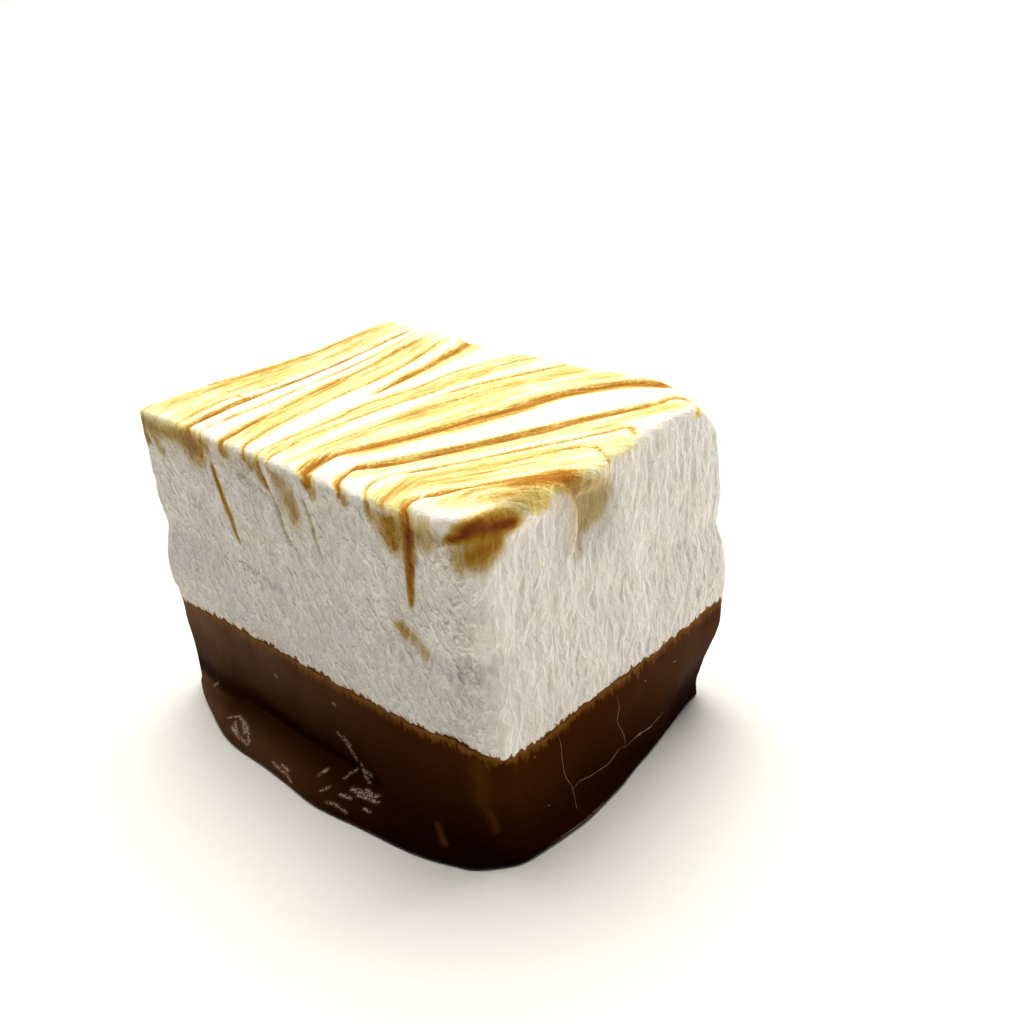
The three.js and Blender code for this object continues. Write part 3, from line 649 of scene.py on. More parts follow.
def side_relief(block, points, normals, z):
    """The crinkled skin of the cut sides, with the left side's creases and the fold on -Y."""
    spots = np.column_stack([points, z])
    bent = spots + grain(spots, SKIN_BEND)[:, None]
    relief = creases(bent, LONG_CREASES) + creases(bent, SHORT_CREASES) + grain(spots, SKIN_SWELL)
    relief = relief + SKIN_LEVEL
    on_left, on_front = (normals < -SIDE_FACING).T
    for line in LEFT_CREASES:
        gap = distance_to_line(spots[:, 1:], line)
        relief = relief - LEFT_CREASE_DEPTH * on_left * bell(gap, LEFT_CREASE_WIDTH)
    return relief + on_front * pinched_fold(points[:, 0] + block.half_x, z)


def facing_left_at(normals):
    return smooth(-normals[:, 0], *LEFTNESS)


def top_skin(block, grid):
    """Vertices and values of the top with its rounded edge, one for each of the grid's crossings."""
    columns, rows = (axis.ravel() for axis in np.indices([cells + 1 for cells in grid.cells]))
    points, normals, edge = grid.plan(columns, rows)
    across = np.clip(block.rounding - edge, 0, block.rounding)
    drop = block.rounding - np.sqrt(block.rounding ** 2 - across ** 2)
    net = block.net(points, normals, ARC_EXTRA * block.rounding * (across / block.rounding) ** 2)
    caramel, flow = strength_at(net, ALL_STREAKS), flow_at(net)
    relief = top_relief(net, caramel, flow)
    height = top_height(block, points) - drop + relief
    low_z = np.minimum(height, top_height(block, points) - block.rounding)
    raised = side_relief(block, points, normals, height) * (1 - smooth(edge, 0, SKIN_WRAP))
    out = (block.side_swell(points, low_z) + raised) * (1 - smooth(edge, 0, TOP_WRAP))
    out = out + OVERHANG * relief * across / block.rounding
    return {
        "vertices": np.column_stack([points + normals * out[:, None], height]),
        "net": net,
        "caramel": caramel,
        "wash": strength_at(net, WASHES),
        "flow": flow,
        "topness": 1 - smooth(drop - lobe_at(net), *SOFT_BAND),
        "raised": raised,
        "facing_left": facing_left_at(normals),
        "above_dip": np.full(len(net), FAR_ABOVE),
        "relief": relief,
    }


def side_skin(block, grid, side_rows, top):
    """Vertices and values of the sides, ring by ring from the hidden foot to under the top's edge."""
    points, normals, _ = grid.plan(*grid.ring)
    inner_points, _, _ = grid.plan(*grid.ring, DIP_WALL / 2)
    dip = block.dip_edge(points, normals) + edge_teeth(points)
    rim = top_height(block, points) - block.rounding
    rim_now = top["vertices"][grid.ring_numbers, 2]
    overhang = OVERHANG * top["relief"][grid.ring_numbers]
    rings = []

    def add(xy, z, net, topness, raised):
        rings.append({
            "vertices": np.column_stack([block.tucked(xy, z), z]),
            "net": net,
            "topness": topness,
            "raised": raised,
            "facing_left": facing_left_at(normals),
            "above_dip": z - dip,
        })

    nothing = 0 * dip
    for level in (DIP_FLOOR + DIP_GAP, HIDDEN_LEVEL):
        add(inner_points, nothing + level, np.full(points.shape, OFF_NET), nothing, nothing)
    start = dip - BURIED
    for row in range(side_rows):
        z = start + (rim_now - start) * (row / side_rows)
        relief = side_relief(block, points, normals, z)
        out = block.side_swell(points, z) + relief + smooth(z, rim - RIM_REACH, rim) * overhang
        out = out - (1 - smooth(z - dip, *SINKS)) * (SUNK_BY + relief)
        net = block.net(points, normals, ARC_EXTRA * block.rounding + np.maximum(rim_now - z, 0))
        topness = 1 - smooth(block.rounding + rim_now - z - lobe_at(net), *SOFT_BAND)
        add(points + normals * out[:, None], z, net, topness, relief)
    sides = {key: np.concatenate([ring[key] for ring in rings]) for key in rings[0]}
    sides["caramel"] = strength_at(sides["net"], ALL_STREAKS)
    sides["wash"] = strength_at(sides["net"], WASHES)
    sides["flow"] = flow_at(sides["net"])
    return sides


def build_marshmallow_mesh(block, cells_x, cells_y, side_rows):
    grid = BlockGrid(block, cells_x, cells_y)
    top = top_skin(block, grid)
    sides = side_skin(block, grid, side_rows, top)
    foot = [[0.0, 0.0, DIP_FLOOR + DIP_GAP]]
    vertices = np.vstack([top["vertices"], sides["vertices"], foot])

    # faces: the top's cells, the rings, and a fan that closes the foot
    cell = grid.number(*np.indices(grid.cells)).ravel()
    step = cells_y + 1
    around = grid.ring_numbers
    rings = list(np.arange(len(top["net"]), len(vertices) - 1).reshape(-1, len(around))) + [around]
    faces = [np.column_stack([cell, cell + step, cell + step + 1, cell + 1])]
    faces += [faces_between(lower, upper) for lower, upper in zip(rings[:-1], rings[1:])]
    faces.append(faces_inside(rings[0], len(vertices) - 1, facing_down=True))

    attributes = {key: np.concatenate([top[key], sides[key], [0.0]]) for key in SKIN_VALUES}
    net = np.vstack([top["net"], sides["net"], [[0.0, 0.0]]])
    attributes["along"] = net[:, 0]
    attributes["damp"] = damp_and_shade_at(net)
    attributes["pooled"] = bell(distance_to_line(net, POOL), POOL_REACH)
    return vertices, face_list(faces), attributes


# ---------------------------------------------------------------- chocolate

DIP_CELLS = {"cells_x": 170, "cells_y": 246, "cells_arc": 16}
SOLE_ROWS, FOOT_ROWS, WALL_ROWS = 4, 26, 46
EDGE_STANDS_OUT = 0.09      # the chocolate lies this far over the marshmallow's skin
LEVEL_SIDE = 3.0            # the side's swell stays as it is at this height from here down
CORNER_WORN, WORN_TO = 1.2, (0.2, 3.2)      # the foot's corner between -Y and +X is rounded by this much
WALL_TOP = 0.1              # the wall's last row is this far under the edge
LIP = [(0.08, 0.02), (0.4, 0.12)]           # steps in and down over the thin lip
LIP_INSIDE = 0.7
CREASE_HEIGHT, CREASE_REACH = 3.2, 0.85     # of the painted shade in the crease between the wall and the foot
FOOT_TOP = (FOOT_CREST + 0.3, FOOT_CREST + 1.4)
FAR_BELOW, FAR_AWAY = 9.0, 40.0             # values of the hidden vertices in the middle
X_SHARE = 0.8               # the front corner's look reaches a little further along x


def edge_teeth(points):
    """The uneven fringe where the chocolate has soaked between the skin's creases."""
    return grain(np.column_stack([points, 0 * points[:, 0]]), *EDGE_GRAIN)


def dip_ring(block, points, normals, out, z):
    """A ring of the chocolate's outer surface with its slow unevenness, as plan points."""
    uneven = grain(np.column_stack([points, z]), *DIP_GRAIN)
    swell = block.side_swell(points, np.maximum(z, LEVEL_SIDE))
    at_corner = np.clip(-2 * normals[:, 0] * normals[:, 1], 0, 1) * (normals[:, 0] > 0)
    worn = CORNER_WORN * at_corner * (1 - smooth(z, *WORN_TO))
    whole = out + swell + uneven + EDGE_STANDS_OUT - worn
    return block.tucked(points + normals * whole[:, None], z)


def build_dip_mesh(block):
    points, normals = block.outline(0.0, **DIP_CELLS)
    inner_points, _ = block.outline(DIP_WALL, **DIP_CELLS)
    edge = block.dip_edge(points, normals) + edge_teeth(points)
    spread = block.foot_spread(points, normals)
    lean = block.side_lean(points, spread)
    nothing = 0 * edge
    rings = []

    def add_outer(out, z, step_down=0.0):
        rings.append(np.column_stack([dip_ring(block, points, normals, out, z), z - step_down]))

    def add_inner(at, z):
        rings.append(np.column_stack([block.tucked(inner_points, at), z]))

    for step in range(SOLE_ROWS):
        angle = step / SOLE_ROWS * math.pi / 2
        z = nothing + FOOT_ROUNDING * (1 - math.cos(angle))
        add_outer(spread - FOOT_ROUNDING * (1 - math.sin(angle)), z)
    for step in range(FOOT_ROWS + 1):
        out, foot = block.foot_section(spread, lean, step / FOOT_ROWS)
        add_outer(out, foot)
    for step in range(1, WALL_ROWS + 1):
        z = foot + (edge - WALL_TOP - foot) * step / WALL_ROWS
        out = lean * np.exp((foot - z) / LEAN_HEIGHT)
        add_outer(out, z)
    # over the thin lip and down the hidden inside
    for step_in, step_down in LIP:
        add_outer(out - step_in, edge, step_down)
    add_inner(edge, edge - LIP_INSIDE)
    for level in (HIDDEN_LEVEL, DIP_FLOOR):
        add_inner(nothing + level, nothing + level)
    vertices = np.vstack(rings + [[[0.0, 0.0, 0.0], [0.0, 0.0, DIP_FLOOR]]])

    under, inside = len(vertices) - 2, len(vertices) - 1
    numbers = np.arange(under).reshape(len(rings), len(points))
    faces = [faces_between(lower, upper) for lower, upper in zip(numbers[:-1], numbers[1:])]
    faces.append(faces_inside(numbers[0], under, facing_down=True))
    faces.append(faces_inside(numbers[-1], inside, facing_down=False))

    def on_rings(values, in_middle):
        """A value for each vertex: the same on every ring, then those of the two middle ones."""
        return np.concatenate([np.tile(values, len(rings)), np.full(2, in_middle)])

    height = vertices[:, 2]
    from_corner = X_SHARE * np.abs(points[:, 0] + block.half_x) + np.abs(points[:, 1] + block.half_y)
    facing_left = on_rings(facing_left_at(normals), 0.0)
    attributes = {
        "below_edge": on_rings(edge, FAR_BELOW + height[-2:]) - height,
        "on_foot": facing_left * (1 - smooth(height, *FOOT_TOP)),
        # where shade is painted in the crease over the foot
        "in_crease": facing_left * bell(height - CREASE_HEIGHT, CREASE_REACH),
        "from_corner": on_rings(from_corner, FAR_AWAY),
        "polish": painted_glint_at(vertices),
        "scuffed": scuffed_at(vertices),
    }
    return vertices, face_list(faces), attributes


# Scuffs on the -X side: half-width, then y and the height across the line of sight.
LEFT_SCUFFS = [
    (0.11, [(13.3, -10.4), (12.0, -9.7)]),
    (0.13, [(12.0, -10.4), (10.2, -11.2), (8.2, -11.5)]),
    (0.11, [(11.8, -9.8), (9.8, -10.2), (8.1, -11.2)]),
    (0.15, [(11.9, -11.0), (9.6, -11.4)]),
    (0.14, [(10.9, -10.0), (9.5, -10.7)]),
    (0.11, [(3.4, -11.5), (1.9, -11.7), (0.8, -11.7), (-0.3, -12.1)]),
    (0.11, [(2.0, -11.2), (0.7, -11.3)]),
    (0.11, [(-3.1, -5.6), (-4.3, -6.1), (-5.3, -6.7), (-6.1, -7.2)]),
    (0.11, [(-4.2, -5.6), (-5.1, -6.2)]),
    (0.18, [(-3.1, -10.0), (-3.3, -9.5)]),
    (0.13, [(-5.9, -9.2), (-5.8, -8.6), (-6.3, -8.1)]),
    (0.13, [(-6.8, -7.4), (-7.5, -8.2), (-8.5, -8.5)]),
    (0.13, [(-7.3, -7.8), (-8.7, -7.8)]),
    (0.18, [(-7.7, -9.6), (-9.4, -9.4), (-10.7, -9.1)]),
    (0.13, [(-8.7, -9.8), (-10.3, -9.5), (-11.4, -9.4)]),
    (0.11, [(-9.0, -9.1), (-9.9, -9.1)]),
    (0.11, [(-4.7, -11.1), (-5.3, -10.5)]),
    (0.11, [(-7.0, -10.5), (-8.4, -10.3)]),
    (0.11, [(-5.9, -11.8), (-7.1, -11.5), (-8.7, -11.6)]),
    (0.10, [(-10.5, -10.4), (-11.4, -10.4)]),
    (0.11, [(7.4, -3.4), (6.9, -3.5)]),
    (0.11, [(-3.1, -2.7), (-3.6, -2.7)]),
    (0.11, [(20.0, -8.9), (19.0, -8.3)]),
    (0.11, [(2.0, -0.4), (1.5, -0.4)]),
]
SCUFF_SLOPE = math.radians(35)

# Painted glints on the dip by its front corner: half-width, strength and points, in millimetres.
GLINTS = [
    (0.28, 0.60, [(-18.6, -18.6, 2.8), (-18.8, -19.1, 2.2), (-19.0, -19.6, 1.9), (-19.1, -20.0, 1.75)]),
    (0.34, 0.34, [(-17.0, -23.8, 6.3), (-16.7, -24.1, 5.7), (-16.5, -24.4, 3.9)]),
    (0.90, 0.26, [(-17.1, -23.7, 11.0), (-17.1, -23.7, 7.4)]),
]
SCUFFS_END = -16            # only what lies to the left of this x is scuffed


# painted highlights along the glints' lines
def painted_glint_at(vertices):
    polish = np.zeros(len(vertices))
    for half_width, strength, points in GLINTS:
        polish = np.maximum(polish, strength * bell(distance_to_line(vertices, points), half_width))
    return polish


def scuffed_at(vertices):
    """Where the -X side is scuffed, seen along a line of sight that slopes down."""
    x, y, z = vertices.T
    seen = np.column_stack([y, x * math.sin(SCUFF_SLOPE) + z * math.cos(SCUFF_SLOPE)])
    scuffed = np.zeros(len(vertices))
    for half_width, points in LEFT_SCUFFS:
        scuffed = np.maximum(scuffed, bell(distance_to_line(seen, points), half_width))
    return scuffed * (x < SCUFFS_END)


# ---------------------------------------------------------------- cracks
#
# Hairlines in the chocolate of the -Y side: width, then x and z.

FRONT_CRACKS = [
    (0.11, [(-8.5, 9.9), (-8.2, 8.6), (-8.2, 5.6), (-7.5, 3.2), (-7.8, 1.1)]),
    (0.10, [(-0.4, 9.9), (-0.1, 8.3), (-0.4, 6.8), (0.4, 4.7), (0.5, 3.2)]),
    (0.11, [(-7.5, 3.2), (-6.5, 3.5), (-5.1, 3.2), (-3.7, 3.1), (-2.0, 3.0), (-0.6, 3.5), (0.5, 3.2)]),
    (0.13, [(0.5, 3.2), (1.8, 3.3), (3.0, 3.4), (4.4, 3.0), (5.9, 3.1), (7.4, 3.1)]),
    (0.12, [(-12.1, 0.6), (-10.3, 0.5), (-8.7, 0.5), (-6.4, 0.5), (-4.6, 0.6)]),
    (0.20, [(2.2, 3.3), (3.3, 3.2)]),
    (0.18, [(3.5, 3.2), (4.6, 3.0)]),
    (0.12, [(-10.9, 3.5), (-10.6, 3.4)]),
    (0.14, [(8.6, 8.6), (9.2, 8.5)]),
    (0.12, [(3.9, 9.2), (4.3, 8.8)]),
    (0.10, [(-11.7, 9.3), (-11.3, 9.2)]),
]
PROUD, SUNK = 0.03, 0.05
CRACK_STEPS = 5
CRACK_WOBBLE, WOBBLE_SCALE = 0.06, 2.1
LEAST_TAPER = 0.4
IN_FRONT = -60              # the lines are cast onto the chocolate from this y


def crack_on(tree, width, line):
    """A closed three-sided strip that follows the chocolate under a line of points."""
    spots, normals = [], []
    for x, z in curve_through(line, CRACK_STEPS):
        wobble = CRACK_WOBBLE * noise.noise(Vector((x * WOBBLE_SCALE, z * WOBBLE_SCALE, 0.5)))
        spot, normal, _, _ = tree.ray_cast(Vector((x + wobble, IN_FRONT, z + wobble)), Vector((0, 1, 0)))
        if spot is not None:
            spots.append(spot)
            normals.append(normal)
    vertices, faces = [], []
    last = len(spots) - 1
    for index, (spot, normal) in enumerate(zip(spots, normals)):
        ahead = spots[min(index + 1, last)] - spots[max(index - 1, 0)]
        across = ahead.cross(normal).normalized()
        taper = LEAST_TAPER + (1 - LEAST_TAPER) * math.sin(math.pi * index / last)
        half = across * (width * taper / 2)
        sunk = spot - normal * SUNK
        vertices += [sunk - half, sunk + half, spot + normal * PROUD * taper]
    for index in range(last):
        for side in range(3):
            a, b = 3 * index + side, 3 * index + (side + 1) % 3
            faces.append((a, b, b + 3, a + 3))
    faces += [(2, 1, 0), (3 * last, 3 * last + 1, 3 * last + 2)]
    return vertices, faces


def build_crack_mesh(coat):
    """All the hairlines as one mesh of separate closed strips."""
    corners = [vertex.co / MM for vertex in coat.data.vertices]
    tree = BVHTree.FromPolygons(corners, [tuple(face.vertices) for face in coat.data.polygons])
    vertices, faces = [], []
    for width, line in FRONT_CRACKS:
        base = len(vertices)
        strip_vertices, strip_faces = crack_on(tree, width, line)
        vertices += [tuple(vertex) for vertex in strip_vertices]
        faces += [tuple(base + corner for corner in face) for face in strip_faces]
    return np.array(vertices), faces, {}


# ---------------------------------------------------------------- meshes and materials

def add_object(name, data):
    made = bpy.data.objects.new(name, data)
    bpy.context.scene.collection.objects.link(made)
    return made


def add_piece(name, vertices, faces, attributes, material, slot_name):
    """A mesh object from millimetre vertices, riding on the sweet's one body."""
    mesh = bpy.data.meshes.new(name)
    mesh.from_pydata((vertices * MM).tolist(), [], faces)
    mesh.validate()
    for key, values in attributes.items():
        layer = mesh.attributes.new(key, "FLOAT", "POINT")
        layer.data.foreach_set("value", np.asarray(values, dtype=np.float32))
    mesh.polygons.foreach_set("use_smooth", [True] * len(mesh.polygons))
    mesh.materials.append(material)
    piece = add_object(name, mesh)
    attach(piece, "root")
    return piece


class Field:
    """A number, place or colour that the nodes work out at each spot of a surface."""

    def __init__(self, nodes, socket):
        self.nodes = nodes
        self.socket = socket

    def __add__(self, other):
        return self.nodes.math("ADD", self, other)

    def __sub__(self, other):
        return self.nodes.math("SUBTRACT", self, other)

    def __rsub__(self, other):
        return self.nodes.math("SUBTRACT", other, self)

    def __mul__(self, other):
        return self.nodes.math("MULTIPLY", self, other)


class Nodes:
    """A short way to write the nodes of a material or of the world."""

    def __init__(self, owner):
        self.owner = owner
        owner.use_nodes = True
        self.tree = owner.node_tree

    def feed(self, socket, value):
        if isinstance(value, Field):
            self.tree.links.new(value.socket, socket)
        elif socket.type == "RGBA":
            socket.default_value = (*value, 1.0)
        else:
            socket.default_value = value

    def add(self, kind, inputs, output=0, **settings):
        """A node with its inputs and settings, as the field that one of its outputs gives."""
        node = self.tree.nodes.new("ShaderNode" + kind)
        for key, value in settings.items():
            setattr(node, key, value)
        for key, value in inputs.items():
            self.feed(node.inputs[key], value)
        return Field(self, node.outputs[output])

    def surface(self, inputs):
        """Sets the shader's sockets, and gives the finished material."""
        shader = self.tree.nodes["Principled BSDF"]
        for key, value in inputs.items():
            self.feed(shader.inputs[key], value)
        return self.owner

    def math(self, operation, *values, clamp=False):
        return self.add("Math", dict(enumerate(values)), operation=operation, use_clamp=clamp)

    def vector(self, operation, *values):
        return self.add("VectorMath", dict(enumerate(values)), operation=operation)

    def scaled(self, colour, factor):
        return self.add("VectorMath", {0: colour, "Scale": factor}, operation="SCALE")

    def axes(self, vector):
        first = self.add("SeparateXYZ", {0: vector})
        return [Field(self, output) for output in first.socket.node.outputs]

    def attribute(self, name):
        return self.add("Attribute", {}, "Fac", attribute_name=name)

    def mix(self, share, first, second):
        """A colour between two."""
        return self.add("Mix", {0: share, 6: first, 7: second}, 2, data_type="RGBA")

    def blend(self, share, first, second):
        """A number between two."""
        return self.add("Mix", {0: share, 2: first, 3: second}, data_type="FLOAT")

    def remap(self, value, low, high, to_low=0.0, to_high=1.0):
        return self.add("MapRange", {0: value, 1: low, 2: high, 3: to_low, 4: to_high})

    def ramp(self, value, stops):
        result = self.add("ValToRGB", {0: value})
        elements = result.socket.node.color_ramp.elements
        while len(elements) < len(stops):
            elements.new(0.5)
        for element, (position, colour) in zip(elements, stops):
            element.position = position
            element.color = (*colour, 1.0)
        return result

    def millimetres(self, scale=(1.0, 1.0, 1.0)):
        """The object's own coordinates in millimetres, stretched by a scale."""
        place = self.add("TexCoord", {}, "Object")
        return self.vector("MULTIPLY", place, tuple(part / MM for part in scale))

    def noise(self, vector, scale, detail=3.0, roughness=0.5, distortion=0.0, output=0):
        inputs = {"Vector": vector, "Scale": scale, "Detail": detail, "Roughness": roughness,
                  "Distortion": distortion}
        return self.add("TexNoise", inputs, output)

    def bump(self, height, strength=1.0):
        """Relief from a height in millimetres."""
        return self.add("Bump", {"Strength": strength, "Distance": MM, "Height": height})


# Where each colour stands on the caramel's strength, from bare marshmallow to the darkest.
TOP_STOPS = ((0.03, "marshmallow"), (0.12, "lemon"), (0.28, "pale_caramel"), (0.48, "light_caramel"),
             (0.74, "caramel"), (1.00, "dark_caramel"))
SIDE_STOPS = ((0.05, "marshmallow"), (0.24, "damp"), (0.46, "stain"), (0.68, "amber"), (0.95, "burnt"))
WARM_TINT = (1.0, 0.975, 0.93)
FIBRES = ((0.55, 0.10, 2.0), (1.7, 0.16, 3.0), (5.0, 0.7, 3.0))      # scale across and along, detail
LEFT_SLANT = 0.38           # how far the -X side's wrinkles lean towards -Y as they go down
RIDGE_WIDTH = 0.20
RIDGE_DEPTH, WRINKLE_DEPTH, LEFT_DEEPER = 0.062, 0.18, 2.9          # relief in millimetres
STRAND_DEPTH, BEAD_DEPTH = 0.20, 0.16
SMEAR_DEPTH, PORE_DEPTH = 0.25, 0.02        # of the chocolate


def fibres(n):
    """Fibres that follow the swirl, as broad bands, strands and fine hairs."""
    combed = n.add("CombineXYZ", {0: n.attribute("flow"), 1: n.attribute("along")})

    return [
        n.noise(n.vector("MULTIPLY", combed, (across, along, 1.0)), 1.0, detail, 0.6, 0.25)
        for across, along, detail in FIBRES]


def wrinkles(n, place, facing_left):
    """The cut sides' ridges, long wrinkles and fine ones. The ridges are upright, but slant on -X."""
    x, y, z = n.axes(place)
    slanted = n.add("CombineXYZ", {0: x, 1: y - z * LEFT_SLANT, 2: z})
    wander = n.noise(place, 1.1, 2.0, output="Color")

    def stretched(vector, across, up):
        return n.vector("MULTIPLY", vector, (across, across, up))

    def ridges(vector, across, up, wobble):
        way = n.vector("MULTIPLY_ADD", wander, (wobble,) * 3, stretched(vector, across, up))
        cells = {"Vector": way, "Scale": 1.0}
        distance = n.add("TexVoronoi", cells, "Distance", feature="DISTANCE_TO_EDGE")
        return n.remap(distance, 0.0, RIDGE_WIDTH, 1.0, 0.0)

    ridged = n.blend(facing_left, ridges(place, 0.95, 0.24, 0.85), ridges(slanted, 0.85, 0.30, 1.0))
    long_wrinkle = n.noise(stretched(place, 1.1, 0.38), 1.0, 3.0, 0.6, 0.5)
    fine_wrinkle = n.noise(stretched(place, 1.9, 1.2), 1.0, 3.0, 0.55, 0.5)
    return ridged, long_wrinkle, fine_wrinkle


def marshmallow_material(colours):
    n = Nodes(bpy.data.materials.new("marbled_marshmallow"))
    caramel, topness, pooled = n.attribute("caramel"), n.attribute("topness"), n.attribute("pooled")
    facing_left = n.attribute("facing_left")
    place = n.millimetres()
    bands, strands, hairs = fibres(n)
    ridged, long_wrinkle, fine_wrinkle = wrinkles(n, place, facing_left)
    beads = n.noise(place, 3.2, 3.0, 0.6)

    def ramp_of(strength, stops):
        return n.ramp(strength, [(position, getattr(colours, name)) for position, name in stops])

    # the caramel: its strength frayed by the fibres on top, and soft where it has run down
    on_fibres = topness * (1.0 - pooled)
    fray = (n.blend(0.4, strands, hairs) - 0.5) * n.blend(on_fibres, 0.4, 2.4)
    grainy = (beads - 0.5) * n.blend(topness, 0.45, 1.2)
    edge_share = caramel * (1.25 - caramel) * 2.0
    ragged = (fray + grainy) * edge_share * (1.0 - pooled * 0.85)
    patchy_side = n.remap(long_wrinkle, 0.3, 0.7, 0.92, 1.06)
    patchy = n.blend(topness, patchy_side, n.remap(strands, 0.3, 0.7, 0.8, 1.12))
    streak = n.math("MULTIPLY_ADD", caramel, patchy, ragged)
    thin = n.remap(strands * 0.6 + hairs * 0.4 + bands * 0.5, 0.60, 0.93, 0.03, 0.60)
    wash = thin * (n.attribute("wash") + topness * 0.13)
    strength = n.math("MAXIMUM", streak, wash)
    marbling = n.mix(on_fibres, ramp_of(strength, SIDE_STOPS), ramp_of(strength, TOP_STOPS))

    # damp patches, partly painted shade in the fold's pocket on -Y, and a slightly warmer tint here and
    # there
    damp_and_shade_share = n.attribute("damp") * n.remap(long_wrinkle, 0.3, 0.7, 0.6, 1.0)
    with_damp_and_shade = n.mix(damp_and_shade_share, marbling, colours.damp)
    tinted = n.vector("MULTIPLY", with_damp_and_shade, WARM_TINT)
    with_damp_and_shade = n.mix(n.remap(n.noise(place, 0.32, 2.0), 0.42, 0.62), with_damp_and_shade, tinted)

    # chocolate has crept up the creases just above its edge
    creep = n.remap(fine_wrinkle, 0.35, 0.65, -0.15, 0.55)
    stained = n.math("MULTIPLY", creep - n.attribute("above_dip"), 6.0, clamp=True)
    colour = n.mix(stained, with_damp_and_shade, colours.fringe_and_glint)

    # painted shade: less light reaches the bottoms of the creases, and on the -X side the creases are
    # shaded deeper, which paints that side darker overall
    fine = ridged * 0.5 + n.remap(fine_wrinkle, 0.3, 0.7, 0.0, 0.5)
    hollows = n.remap(n.attribute("raised"), -0.30, 0.12, 0.84, 1.03)
    depth = n.remap(fine, 0.05, 0.8, n.blend(facing_left, 0.88, 0.79), n.blend(facing_left, 1.02, 1.04))
    shaded = n.scaled(colour, n.blend(topness, depth * hollows, 1.0))

    # relief, about zero on the sides and on the top
    on_sides = (ridged - 0.5) * RIDGE_DEPTH + (fine_wrinkle - 0.5) * WRINKLE_DEPTH
    on_sides = on_sides * n.blend(facing_left, 1.0, LEFT_DEEPER)
    on_top = (strands - 0.5) * STRAND_DEPTH + (beads - 0.5) * BEAD_DEPTH
    return n.surface({
        "Base Color": shaded,
        "Normal": n.bump(n.blend(topness, on_sides, on_top)),
        "Roughness": 0.75,
        "Specular IOR Level": 0.12,
        "Subsurface Weight": 0.2,
        "Subsurface Radius": (1.0, 0.8, 0.6),
        "Subsurface Scale": 0.6 * MM,
    })


def chocolate_material(colours):
    n = Nodes(bpy.data.materials.new("dark_chocolate"))
    below, corner = n.attribute("below_edge"), n.attribute("from_corner")
    in_crease = n.attribute("in_crease")
    slow = n.noise(n.millimetres(), 0.16, 3.0, 0.5)
    fine = n.noise(n.millimetres(), 1.6, 4.0, 0.6)
    streaky = n.noise(n.millimetres((2.2, 2.2, 0.5)), 1.0, 3.0, 0.6, 0.4)

    # darker towards the bottom, but not on the foot, and painted shade in the crease over the foot
    on_foot = n.attribute("on_foot") * n.remap(corner, 12.0, 27.0)
    low = n.remap(below, 3.0, 11.0) + (slow - 0.5) * 0.5
    low = n.math("MULTIPLY", low, 1.0 - on_foot * 0.9, clamp=True)
    crease_share = n.math("MINIMUM", n.remap(corner, 10.0, 16.0), n.remap(corner, 46.0, 34.0, 0.2, 1.0))
    low = n.math("MAXIMUM", low, in_crease * crease_share)
    body = n.mix(low, colours.chocolate, colours.low_down_and_crease_shade)

    # a painted sheen away from the front corner, near the edge and on the foot's top, standing in for
    # reflection
    far = n.remap(corner, 12.0, 46.0) * n.remap(corner, 50.0, 62.0, 1.0, 0.35)
    high = n.math("MAXIMUM", n.remap(below, 9.0, 1.0), on_foot * 0.5) * (1.0 - in_crease)
    sheen = far * high * n.remap(slow, 0.3, 0.6, 0.5, 1.0)
    body = n.mix(sheen, body, colours.chocolate_sheen)

    # the fringe is thin, so the marshmallow shows through it
    fringe_reach = n.remap(streaky, 0.3, 0.7, 0.25, 1.9)
    fringe = n.math("SUBTRACT", 1.0, n.math("DIVIDE", below, fringe_reach), clamp=True)
    colour = n.mix(n.math("POWER", fringe, 1.3), body, colours.fringe_and_glint)

    # painted glints, and scuffs
    colour = n.mix(n.attribute("polish") * 0.55, colour, colours.fringe_and_glint)
    specks = n.remap(n.noise(n.millimetres((2.6, 2.6, 5.0)), 1.4, 3.0, 0.7), 0.43, 0.55)
    colour = n.mix(n.attribute("scuffed") * specks, colour, colours.scuff)
    return n.surface({
        "Base Color": colour,
        "Roughness": n.remap(slow + fine * 0.4, 0.5, 1.0, 0.30, 0.46),
        "Normal": n.bump(slow * SMEAR_DEPTH + fine * PORE_DEPTH, 0.6),
        "Specular IOR Level": 0.003,
        "Specular Tint": (1.0, 0.5, 0.25),
    })


def crack_material(colour):
    n = Nodes(bpy.data.materials.new("cracked_chocolate"))
    shade = n.remap(n.noise(n.millimetres(), 1.2, 2.0), 0.3, 0.7, 0.55, 1.1)
    return n.surface({"Base Color": n.scaled(colour, shade), "Roughness": 0.6, "Specular IOR Level": 0.1})


def floor_material(colour):
    n = Nodes(bpy.data.materials.new("pale_floor"))
    grainy = n.remap(n.noise(n.millimetres(), 0.8, 3.0, 0.6), 0.3, 0.7)
    near = n.mix(grainy, colour, tuple(0.985 * part for part in colour))
    return n.surface({"Base Color": near, "Roughness": 0.7, "Specular IOR Level": 0.15})


# ---------------------------------------------------------------- sizes and colours to change

def length_property(name, description, default):
    return FloatProperty(name=name, description=description, default=default, unit="LENGTH")


def colour_property(name, description, default):
    return FloatVectorProperty(name=name, description=description, default=default, subtype="COLOR")


class SweetSizes(bpy.types.PropertyGroup):
    """Sizes of the sweet"""
    width: length_property("Width", "Short side of the block", 0.035)
    length: length_property("Length", "Long side of the block", 0.05)
    height: length_property("Height", "Height of the whole sweet", round(solids_box[1][2], 5))
    top_rounding: length_property("Top rounding", "Rounding of the top's edge", 0.0008)
    corner_sag: length_property("Corner sag", "How far the top falls away at one corner", 0.0034)
    dip_level: length_property("Dip level", "Usual height of the chocolate's edge", 0.0119)
    skin_cells: IntProperty(name="Skin cells", description="Cells across the short side of the skin",
                            default=150)


